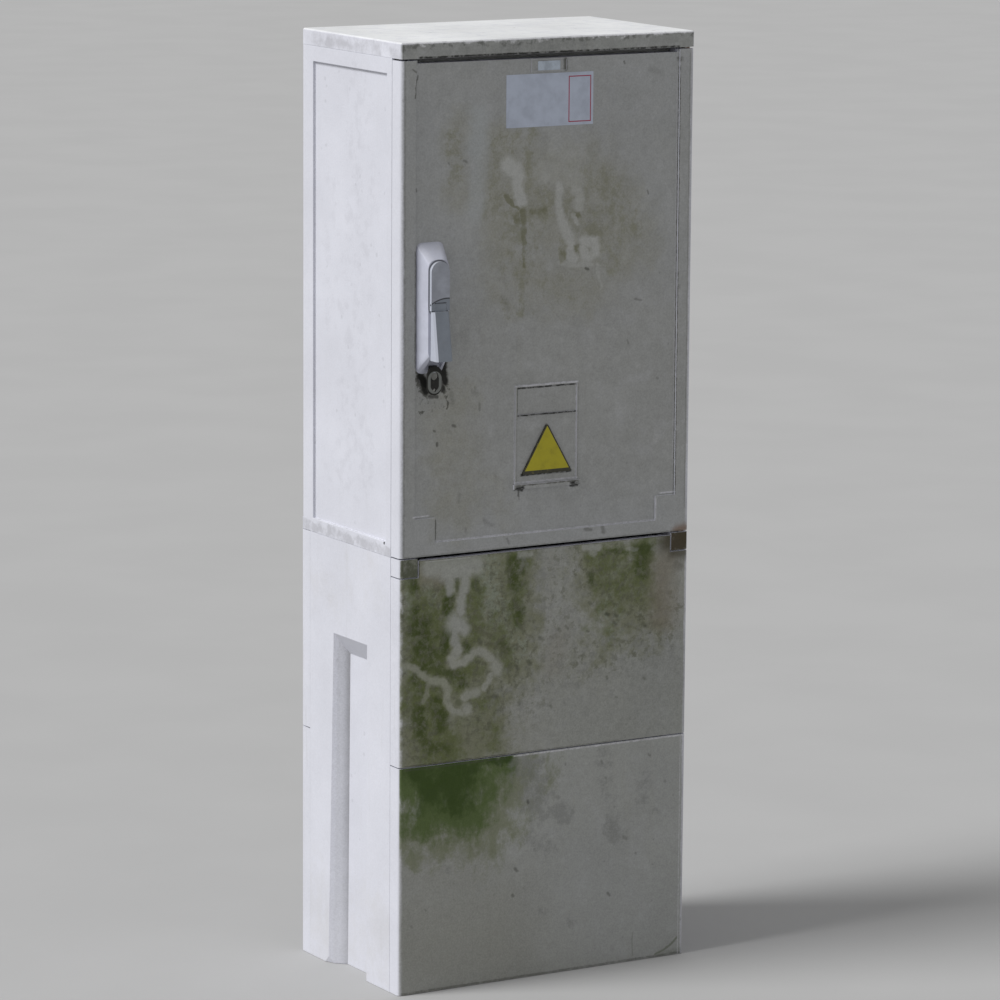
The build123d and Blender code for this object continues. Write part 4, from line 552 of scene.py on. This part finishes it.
# Painted highlights along the top edge at z 315.8 and the right edge at x 221.5; the other lines are dirt
lowerCoverLines = [
    ("z", 315.8, 1.6, -50, 226, 0.7, "worn"), ("z", 314.5, 1.5, -222, -60, 0.5, "grime"),
    ("z", 2.0, 2.2, -226, 226, 0.5, "grime"), ("x", 221.5, 1.2, 0, 318, 0.45, "worn"),
]
sidePanelStains = [
    {"side": True, "colour": (0.44, 0.44, 0.48), "amount": 0.22, "soft": 0.9, "wander": 6, "fray": 5,
     "broken": (48, 3.2, 0.32), "strokes": [
        (-20, 1240, -10, 1150, 36, 0.36), (-20, 1100, 0, 880, 52, 0.34), (0, 860, 30, 700, 50, 0.34),
        (-30, 760, -20, 690, 30, 0.42), (60, 1100, 70, 900, 30, 0.26)]},
    {"side": True, "colour": (0.40, 0.40, 0.43), "amount": 0.6, "soft": 0.8, "wander": 3, "fray": 4,
     "broken": (60, 2.4, 0.35), "strokes": [(-110, 612, 130, 612, 8, 0.7)]},
    {"side": True, "colour": "soot", "amount": 0.9, "soft": 0.5, "wander": 0.5, "fray": 0.5, "strokes": [
        (-97, 632, -95, 622, 1.8, 1.0)]},
]
lidStains = [
    {"side": True, "colour": (0.44, 0.44, 0.475), "amount": 0.7, "soft": 0.9, "wander": 4, "fray": 5,
     "broken": (36, 2.6, 0.42), "strokes": [(-130, 1288, 110, 1290, 13, 0.5), (-20, 1286, 70, 1288, 8, 0.7)]},
    {"colour": (0.27, 0.277, 0.268), "amount": 0.6, "soft": 0.9, "wander": 4, "fray": 5,
     "broken": (50, 3.0, 0.4), "strokes": [(-220, 1289, 220, 1289, 12, 0.55)]},
    {"colour": (0.60, 0.605, 0.62), "amount": 0.9, "soft": 0.8, "wander": 3, "fray": 4,
     "broken": (60, 4.6, 0.24), "strokes": [(-226, 1301, 226, 1301, 5, 0.52)]},
    {"colour": (0.12, 0.125, 0.115), "amount": 0.7, "soft": 0.8, "wander": 3, "fray": 4,
     "broken": (70, 4.2, 0.26), "strokes": [(-226, 1296, 226, 1296, 5, 0.32), (-228, 1296, -227, 1280, 3, 0.6)]},
]
# Wear along the lid's top edge, and painted shade along the gap under the lid
lidLines = [
    ("z", 1298.4, 1.6, -230, 230, 0.8, "worn"), ("z", 1279.2, 2.2, -203, 206, 0.95, "soot"),
]
lugStains = [
    {"colour": (0.050, 0.036, 0.016), "amount": 0.92, "soft": 0.7, "wander": 3, "fray": 3,
     "broken": (80, 1.6, 0.35), "strokes": [(196, 592, 232, 592, 20, 0.9)]},
    {"colour": (0.085, 0.095, 0.058), "amount": 0.85, "soft": 0.8, "wander": 3, "fray": 4,
     "broken": (85, 2.8, 0.34), "strokes": [(-232, 592, -202, 588, 16, 0.66)]},
]
pedestalSideStains = [
    {"side": True, "colour": (0.55, 0.545, 0.555), "amount": 0.4, "soft": 0.9, "wander": 12, "fray": 5,
     "broken": (18, 2.2, 0.42), "strokes": [(-110, 80, 120, 60, 80, 0.6), (-60, 560, 100, 540, 60, 0.35)]},
]

finishes = {
    "door_moulding": agedPolyester("door moulding", {
        "front": (0.350, 0.355, 0.349), "fleckShare": 0.06, "flecks": 0.26, "streaks": 0.08,
        "stains": doorStainsAndShade, "lines": doorLines}),
    "lid_moulding": agedPolyester("lid moulding", {
        "front": (0.325, 0.332, 0.322), "top": (0.74, 0.75, 0.755), "filmEdge": 229.0, "patches": 0.2, "smears": 0.34,
        "settled": 0.16, "flecks": 0.4, "stains": lidStains, "lines": lidLines}),
    "cabinet_moulding": agedPolyester("cabinet moulding", {
        "front": (0.55, 0.555, 0.60), "flecks": 0.12, "streaks": 0.06, "stains": sidePanelStains}),
    "frame_moulding": agedPolyester("frame moulding", {"flecks": 0.1}),
    "floor_moulding": agedPolyester("floor moulding", {
        "front": (0.21, 0.215, 0.18), "filmEdge": 228.5, "flecks": 0.3, "stains": lugStains}),
    "pedestal_moulding": agedPolyester("pedestal moulding", {
        "front": (0.56, 0.565, 0.605), "hollow": (0.27, 0.27, 0.285), "fleckShare": 0.12, "flecks": 0.12,
        "streaks": 0.08, "stains": pedestalSideStains}),
    "rear_moulding": agedPolyester("rear moulding", {"fleckShare": 0.2, "flecks": 0.3, "streaks": 0.3}),
}
upperCover = {
    "front": (0.320, 0.324, 0.298), "fleckShare": 0.2, "flecks": 0.3, "smears": 0.3,
    "stains": upperCoverStains, "lines": coverLines,
}
lowerCover = {
    **upperCover, "front": (0.350, 0.357, 0.342), "smears": 0.14, "stains": lowerCoverStains, "lines": lowerCoverLines,
}
upperCoverFinish = agedPolyester("upper cover moulding", upperCover)
lowerCoverFinish = agedPolyester("lower cover moulding", lowerCover)
finishes["cover_moulding"] = upperCoverFinish
print("polyester finishes made")


def mouldedPlastic(name, look):
    material, n, shader, point, normal = newMaterial(name)
    nx, ny, nz = n.axes(normal)
    medium = n.noise(point, look.get("patch", 40.0), 4.0, 0.6)
    fine = n.noise(point, 700.0, 2.0, 0.6)
    shade = n.remap(medium, 0.3, 0.7, 1 - look.get("vary", 0.08), 1 + look.get("vary", 0.08))
    shade = n.plus(shade, n.times(n.minus(fine, 0.5), look.get("speck", 0.12)))
    colour = n.shaded(look["colour"], shade)
    for x0, z0, x1, z1, outer, inner, tint, amount in look.get("rings", []):
        flat = n.stretch(point, (1.0, 0.0, 1.0))
        whole, hole = (strokeMask(n, flat, [(x0, z0, x1, z1, radius, 1.0)], 0.05) for radius in (outer, inner))
        ring = n.minus(whole, hole)
        ring = n.times(ring, n.remap(n.times(ny, -1.0), 0.5, 0.8))
        colour = n.mix(n.times(ring, amount), colour, tint)
    # Painted light: faces turned to the left get a lighter colour
    if "sideTint" in look:
        colour = n.mix(n.remap(n.times(nx, -1.0), 0.25, 0.5), colour, look["sideTint"])
    if "below" in look:
        # Below its rim the hub is as dark as the grip, with a thin painted shadow line along the bend
        step = look["below"]
        x, y, z = n.axes(point)
        fromMiddle = n.calc("POWER", n.calc("ABSOLUTE", n.minus(x, step["middle"] * mm)), 2.0)
        rim = n.minus(step["height"] * mm, n.times(fromMiddle, step["bend"]))
        front = n.remap(n.times(ny, -1.0), 0.6, 0.85)
        under = n.minus(rim, z)
        low, high, soft = (v * mm for v in step["line"])
        colour = n.mix(n.times(n.remap(under, 0.0, step["fade"] * mm), front), colour, step["tint"])
        colour = n.mix(n.times(n.between(under, low, high, soft), front), colour, step["lineColour"])
    dusty = n.times(n.remap(nz, 0.2, 0.9), n.remap(medium, 0.35, 0.6))
    stained = n.remap(n.noise(point, 90.0, 5.0, 0.7), 0.55, 0.75)
    dusty = n.plus(n.times(dusty, look.get("dust", 0.35)),
                   n.times(stained, look.get("stain", 0.12)), clamp=True)
    colour = n.mix(dusty, colour, (0.2, 0.19, 0.16))
    n.put(shader.inputs["Base Color"], colour)
    rough = look.get("roughness", 0.5)
    duller = n.plus(medium, n.times(dusty, 0.4))
    n.put(shader.inputs["Roughness"], n.remap(duller, 0.3, 0.9, rough - 0.08, rough + 0.22))
    shader.inputs["Specular IOR Level"].default_value = look.get("specular", 0.4)
    n.bump(shader, fine, 0.25, 0.3)
    return material


def wornMetal(name, look):
    material, n, shader, point, normal = newMaterial(name)
    cells = n.cells(n.jitter(point, 60.0, 0.004), look.get("spangle", 160.0))
    spangle = n.axes(cells.outputs["Color"])[0]
    brushed = n.noise(n.stretch(point, (90.0, 90.0, 900.0)), 1.0, 3.0, 0.6)
    patches = n.noise(point, look.get("patch", 70.0), 5.0, 0.65)
    shade = n.remap(spangle, 0.0, 1.0, 0.9, 1.08)
    shade = n.plus(shade, n.times(n.minus(brushed, 0.5), 0.2))
    colour = n.shaded(look["colour"], shade)
    rustFrom = look.get("rustFrom", 0.62)
    rusted = n.remap(patches, rustFrom, rustFrom + 0.12)
    covered = n.times(rusted, look["rust"])
    colour = n.mix(covered, colour, look.get("rustColour", (0.16, 0.07, 0.03)))
    n.put(shader.inputs["Base Color"], colour)
    n.put(shader.inputs["Metallic"], n.times(n.minus(1.0, covered), 0.9))
    rough = n.plus(patches, n.times(brushed, 0.5))
    n.put(shader.inputs["Roughness"], n.remap(rough, 0.4, 1.1, 0.35, 0.7))
    n.bump(shader, n.plus(brushed, rusted), 0.3, 0.2)
    return material


# The grip's colour as seen in shade, and a lighter copy painted on its left-facing flanks as painted light
gripColour = (0.235, 0.262, 0.305)
handleLitFlank = (0.46, 0.485, 0.555)
# Rings: (x, z, x, z) of the middle line, outer and inner radius, colour, amount
# Painted shade: a dark ring on the housing round the hub
hubShadowRing = (-184, 996, -184, 950, 16.2, 14.0, (0.09, 0.095, 0.11), 0.85)
eyeOutline = (-184, 841, -184, 850, 10.5, 6.4, (0.24, 0.25, 0.24), 0.8)

finishes.update({
    "handle_housing": mouldedPlastic("housing plastic", {
        "colour": (0.50, 0.515, 0.60), "vary": 0.06, "stain": 0.08, "dust": 0.2, "roughness": 0.42,
        "rings": [hubShadowRing]}),
    "handle_grip": mouldedPlastic("grip coating", {
        "colour": gripColour, "sideTint": handleLitFlank, "vary": 0.08, "stain": 0.12, "roughness": 0.38}),
    "rubber": mouldedPlastic("rubber", {"colour": (0.03, 0.03, 0.03), "roughness": 0.7, "dust": 0.3}),
    "clamp_plastic": mouldedPlastic("clamp plastic", {"colour": (0.045, 0.045, 0.045), "dust": 0.4}),
    "lock_plastic": mouldedPlastic("lock plastic", {"colour": (0.04, 0.04, 0.045), "dust": 0.3}),
    "board": mouldedPlastic("mounting board", {
        "colour": (0.47, 0.44, 0.37), "patch": 18.0, "vary": 0.1, "speck": 0.2, "roughness": 0.6}),
    "device_case": mouldedPlastic("device case", {"colour": (0.60, 0.61, 0.60), "vary": 0.04, "stain": 0.08}),
    "toggle_red": mouldedPlastic("red toggle", {"colour": (0.48, 0.03, 0.02), "roughness": 0.3}),
    "toggle_black": mouldedPlastic("black toggle", {"colour": (0.02, 0.02, 0.02), "roughness": 0.3}),
    "fuse_carrier": mouldedPlastic("fuse carrier", {"colour": (0.12, 0.12, 0.125), "roughness": 0.35}),
    "terminal_plastic": mouldedPlastic("terminal plastic", {"colour": (0.34, 0.34, 0.29)}),
    "zinc_screws": wornMetal("zinc screws", {"colour": (0.56, 0.56, 0.53), "rust": 0.35}),
    "galvanised_rail": wornMetal("galvanised rail", {"colour": (0.52, 0.54, 0.54), "spangle": 90.0, "rust": 0.25}),
    "hinge_steel": wornMetal("hinge steel", {"colour": (0.40, 0.37, 0.33), "rust": 0.85, "rustFrom": 0.45}),
    "eye_steel": mouldedPlastic("eye steel", {
        "colour": (0.022, 0.022, 0.02), "vary": 0.25, "speck": 0.5, "dust": 0.12, "roughness": 0.5, "specular": 0.2,
        "rings": [eyeOutline]}),
    "lock_steel": wornMetal("lock steel", {"colour": (0.55, 0.56, 0.56), "rust": 0.15}),
    "bar_brass": wornMetal("brass bar", {"colour": (0.62, 0.44, 0.16), "rust": 0.3, "rustColour": (0.22, 0.15, 0.06)}),
})


triangle = {
    "yellow": (0.445, 0.392, 0.008), "faded": (0.35, 0.305, 0.014),
    "dark": (0.035, 0.034, 0.02), "scuffed": (0.14, 0.12, 0.04),
    "slope": (0.5, 0.866),               # sine and cosine of half the tip's angle
    # The lower border is drawn wider: print, with painted shadow along the plate's lower edge
    "border": (1.7, 2.1), "tipRise": 2.2, "lowerBorder": 3.0, "uneven": 1.2,
}


def yellowPlate():
    # A bare yellow triangle with a dark border, drawn from the plate's own size
    material, n, shader, point, normal = newMaterial("yellow plate")
    low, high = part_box("triangle_plate")
    x, y, z = n.axes(point)
    rise = n.minus(z, low.z)
    fromMiddle = n.calc("ABSOLUTE", n.minus(x, (low.x + high.x) / 2))
    fromTip = n.minus(high.z - low.z + triangle["tipRise"] * mm, rise)
    sine, cosine = triangle["slope"]
    slant = n.minus(n.times(fromTip, sine), n.times(fromMiddle, cosine))
    inside = n.calc("MINIMUM", slant, n.minus(rise, triangle["lowerBorder"] * mm))
    scratch = n.noise(point, 120.0, 5.0, 0.7)
    edge = n.plus(inside, n.times(n.minus(scratch, 0.5), triangle["uneven"] * mm))
    field = n.remap(edge, *(v * mm for v in triangle["border"]))
    dirt = n.noise(point, 60.0, 5.0, 0.65)
    yellow = n.mix(n.remap(dirt, 0.4, 0.75), triangle["yellow"], triangle["faded"])
    dark = n.mix(n.remap(scratch, 0.5, 0.75), triangle["dark"], triangle["scuffed"])
    n.put(shader.inputs["Base Color"], n.mix(field, dark, yellow))
    n.put(shader.inputs["Roughness"], n.remap(dirt, 0.3, 0.7, 0.35, 0.6))
    n.bump(shader, scratch, 0.2, 0.3)
    return material


finishes["triangle_yellow"] = yellowPlate()
print("all finishes made:", len(finishes))


# Soft moulded edges: a merged and bevelled copy stands for each CAD node listed here
softEdges = {
    "door_shell": 0.6, "upper_front_cover": 0.4, "lower_front_cover": 0.4, "upper_rear_panel": 0.4,
    "lower_rear_panel": 0.4, "cabinet_lid": 0.8, "cabinet_left_wall": 0.8, "cabinet_right_wall": 0.8,
    "cabinet_rear_wall": 0.8, "cabinet_floor": 0.6, "pedestal_left_side": 0.4, "pedestal_right_side": 0.4,
    "door_frame": 0.6, "triangle_plate": 0.4, "handle_housing": 2.2, "handle_lever": 1.6, "handle_rotor": 2.0,
    "padlock_eye": 0.5, "main_switch": 0.6, "breaker_1": 0.5, "breaker_2": 0.5, "breaker_3": 0.5,
    "fuse_base": 0.5, "contactor": 0.6, "main_switch_toggle": 0.6, "lock_base": 0.5,
}


def onlySelect(piece):
    bpy.ops.object.select_all(action="DESELECT")
    piece.select_set(True)
    bpy.context.view_layer.objects.active = piece


coverNodes = ("upper_front_cover", "lower_front_cover", "upper_rear_panel", "lower_rear_panel")
channelNodes = ("pedestal_left_side", "pedestal_right_side")
# y of each cover's flanges, as built and as drawn
joints = {"front": (-113.5, -112.75), "rear": (116.0, 115.25), "within": 0.05}
channel = {"outside": 229.5, "rearFrom": 40.0, "rearTo": 70.0, "minLength": 300.0, "radius": 9.0}


def closeJoint(piece):
    # The flanges of the covers reach nearly to the pedestal sides
    for vertex in piece.data.vertices:
        for old, new in (joints["front"], joints["rear"]):
            if abs(vertex.co.y - old * mm) < joints["within"] * mm:
                vertex.co.y = new * mm


def roundChannel(piece):
    # The rear wall of the side channel meets the outside in a wide round
    bpy.ops.object.mode_set(mode="EDIT")
    bpy.ops.mesh.select_mode(type="EDGE")
    bpy.ops.mesh.select_all(action="DESELECT")
    mesh = bmesh.from_edit_mesh(piece.data)
    for edge in mesh.edges:
        a, b = (v.co for v in edge.verts)
        outside = min(abs(a.x), abs(b.x)) > channel["outside"] * mm
        atRear = min(a.y, b.y) > channel["rearFrom"] * mm and max(a.y, b.y) < channel["rearTo"] * mm
        edge.select_set(outside and atRear and abs(a.z - b.z) > channel["minLength"] * mm)
    bmesh.update_edit_mesh(piece.data)
    bpy.ops.mesh.bevel(offset=channel["radius"] * mm, segments=6)
    bpy.ops.object.mode_set(mode="OBJECT")


def softCopy(nodeName, width):
    first, *others = nodeName.split("_")
    pieceName = first + "".join(word.capitalize() for word in others)
    piece = bpy.data.objects.new(pieceName, cadNodes[nodeName].data.copy())
    bpy.context.scene.collection.objects.link(piece)
    onlySelect(piece)
    bpy.ops.object.mode_set(mode="EDIT")
    bpy.ops.mesh.select_all(action="SELECT")
    bpy.ops.mesh.remove_doubles(threshold=0.00001)
    bpy.ops.mesh.dissolve_limited(angle_limit=radians(0.6))
    bpy.ops.object.mode_set(mode="OBJECT")
    if piece.data.has_custom_normals:
        bpy.ops.mesh.customdata_custom_splitnormals_clear()
    if nodeName in coverNodes:
        closeJoint(piece)
    if nodeName in channelNodes:
        roundChannel(piece)
    bevel = piece.modifiers.new("soft edge", "BEVEL")
    bevel.width = width * mm
    bevel.segments = 3 if width > 1 else 2
    bevel.limit_method = "ANGLE"
    bevel.angle_limit = radians(28)
    bevel.use_clamp_overlap = True
    bpy.ops.object.modifier_apply(modifier=bevel.name)
    bpy.ops.object.shade_smooth_by_angle(angle=radians(38))
    weigh = piece.modifiers.new("flat faces", "WEIGHTED_NORMAL")
    weigh.keep_sharp = True
    bpy.ops.object.modifier_apply(modifier=weigh.name)
    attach(piece, nodeBody[nodeName])
    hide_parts(nodeName)
    return piece


hubStep = {
    "middle": -174.0, "height": 960.5, "bend": 12.0, "fade": 1.2, "line": (-0.8, 1.0, 0.5),
    "tint": gripColour, "lineColour": (0.05, 0.052, 0.06),
}
hubFinish = mouldedPlastic("hub coating", {
    "colour": (0.36, 0.38, 0.435), "sideTint": handleLitFlank, "vary": 0.14, "stain": 0.15, "roughness": 0.38,
    "below": hubStep})
ownFinish = {"upper_front_cover": upperCoverFinish, "lower_front_cover": lowerCoverFinish, "handle_rotor": hubFinish}
for nodeName, node in cadNodes.items():
    finish = ownFinish.get(nodeName, finishes[slotOfNode[nodeName]])
    if nodeName in softEdges:
        node = softCopy(nodeName, softEdges[nodeName])
        node.data.materials.clear()
        node.data.materials.append(finish)
    for place in node.material_slots:
        place.material = finish
print("edges softened:", len(softEdges))


fieldPlane = -135.0    # y of the door's recessed field


# Thin labels on the door, both left blank
def labelPlate(name, label):
    bpy.ops.object.select_all(action="DESELECT")
    x, z, thickness = label["x"], label["z"], label["thickness"]
    middle = ((x[0] + x[1]) / 2 * mm, (fieldPlane - thickness / 2) * mm, (z[0] + z[1]) / 2 * mm)
    spans = ((x[1] - x[0]) * mm, thickness * mm, (z[1] - z[0]) * mm)
    bpy.ops.mesh.primitive_cube_add(size=1, location=middle, scale=spans)
    piece = bpy.context.object
    piece.name = name
    bpy.ops.object.transform_apply(location=True, rotation=True, scale=True)
    bpy.ops.object.mode_set(mode="EDIT")
    bpy.ops.mesh.select_mode(type="EDGE")
    bpy.ops.mesh.select_all(action="DESELECT")
    mesh = bmesh.from_edit_mesh(piece.data)
    for edge in mesh.edges:
        a, b = (v.co for v in edge.verts)
        edge.select_set(abs(a.y - b.y) > thickness * mm * 0.9)
    bmesh.update_edit_mesh(piece.data)
    bpy.ops.mesh.bevel(offset=label["corner"] * mm, segments=4)
    bpy.ops.object.mode_set(mode="OBJECT")
    bpy.ops.object.shade_smooth_by_angle(angle=radians(38))
    return piece


sticker = {
    "x": (-67.0, 69.5), "z": (1179.4, 1250.8), "thickness": 0.25, "corner": 1.0,
    "paper": (0.50, 0.55, 0.665), "outline": (0.36, 0.02, 0.07),
    "box": (30.5, 66.0, 1183.4, 1246.0), "lineWidth": 1.5,
}


def stickerFinish():
    material, n, shader, point, normal = newMaterial("sticker film")
    x, y, z = n.axes(point)
    left, right, low, high = (v * mm for v in sticker["box"])
    inX = n.calc("MINIMUM", n.minus(x, left), n.minus(right, x))
    inZ = n.calc("MINIMUM", n.minus(z, low), n.minus(high, z))
    depth = n.calc("MINIMUM", inX, inZ)
    inside = n.calc("GREATER_THAN", depth, 0.0)
    line = n.times(inside, n.calc("LESS_THAN", depth, sticker["lineWidth"] * mm))
    worn = n.noise(point, 45.0, 5.0, 0.65)
    paper = n.mix(n.remap(worn, 0.35, 0.75), sticker["paper"], tuple(v * 0.82 for v in sticker["paper"]))
    red = n.mix(n.remap(worn, 0.4, 0.7), sticker["outline"], tuple(v * 0.7 + 0.1 for v in sticker["outline"]))
    n.put(shader.inputs["Base Color"], n.mix(line, paper, red))
    n.put(shader.inputs["Roughness"], n.remap(worn, 0.3, 0.7, 0.3, 0.5))
    return material


stickerPiece = labelPlate("doorSticker", sticker)
stickerPiece.data.materials.append(stickerFinish())
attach(stickerPiece, "door")

plate = {
    "x": (-18.0, 17.0), "z": (1254.2, 1267.5), "thickness": 0.4, "corner": 1.0,
    "colour": (0.46, 0.52, 0.60), "vary": 0.16, "stain": 0.3, "patch": 90.0,
}
numberPlate = labelPlate("numberPlate", plate)
numberPlate.data.materials.append(mouldedPlastic("number plate", plate))
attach(numberPlate, "door")
print("labels placed")


# Floor, light and camera
studio = {
    "floor": (0.44, 0.44, 0.44), "floorSize": 160.0, "floorDrop": 0.5, "floorMottle": (0.985, 1.015),
    "sunFrom": (-0.70, 0.10, 0.70), "sunStrength": 2.8, "sunAngle": 25.0,
    "fill": (0.42, 0.42, 0.42),
}
bpy.ops.object.select_all(action="DESELECT")
bpy.ops.mesh.primitive_plane_add(size=studio["floorSize"], location=(0, 0, -studio["floorDrop"] * mm))
floor = bpy.context.object
floor.name = "studioFloor"
floorMaterial, floorSheet, floorShader, floorPoint = newMaterial("studio floor")[:4]
floorTone = floorSheet.remap(floorSheet.noise(floorPoint, 3.0, 3.0, 0.5), 0.3, 0.7, *studio["floorMottle"])
floorSheet.put(floorShader.inputs["Base Color"], floorSheet.shaded(studio["floor"], floorTone))
floorShader.inputs["Roughness"].default_value = 0.9
floorShader.inputs["Specular IOR Level"].default_value = 0.1
floor.data.materials.append(floorMaterial)

sun = bpy.data.objects.new("studioSun", bpy.data.lights.new("studioSun", "SUN"))
sun.data.energy = studio["sunStrength"]
sun.data.angle = radians(studio["sunAngle"])
sun.rotation_euler = Vector(studio["sunFrom"]).to_track_quat("Z", "Y").to_euler()
bpy.context.scene.collection.objects.link(sun)

world = bpy.data.worlds.new("studio world")
bpy.context.scene.world = world
world.use_nodes = True
backdrop = world.node_tree.nodes["Background"]
backdrop.inputs["Color"].default_value = (*studio["fill"], 1)
backdrop.inputs["Strength"].default_value = 1.0

# The camera stands where the photograph was taken
view = {"place": (-3.46687, -5.87219, 1.86043), "yaw": 30.61, "pitch": 10.09, "roll": 0.39, "lens": 179.64}
yaw, pitch, roll = (radians(view[k]) for k in ("yaw", "pitch", "roll"))
ahead = Vector((sin(yaw) * cos(pitch), cos(yaw) * cos(pitch), -sin(pitch)))
right = Vector((cos(yaw), -sin(yaw), 0))
up = right.cross(ahead)
right, up = cos(roll) * right + sin(roll) * up, cos(roll) * up - sin(roll) * right
camera = bpy.data.objects.new("photoCamera", bpy.data.cameras.new("photoCamera"))
camera.data.lens = view["lens"]
camera.data.sensor_width = 36
camera.data.clip_end = 300
camera.matrix_world = Matrix.Translation(view["place"]) @ Matrix((right, up, -ahead)).transposed().to_4x4()
bpy.context.scene.collection.objects.link(camera)
bpy.context.scene.camera = camera
bpy.context.scene.view_settings.view_transform = "Standard"
print("studio ready")
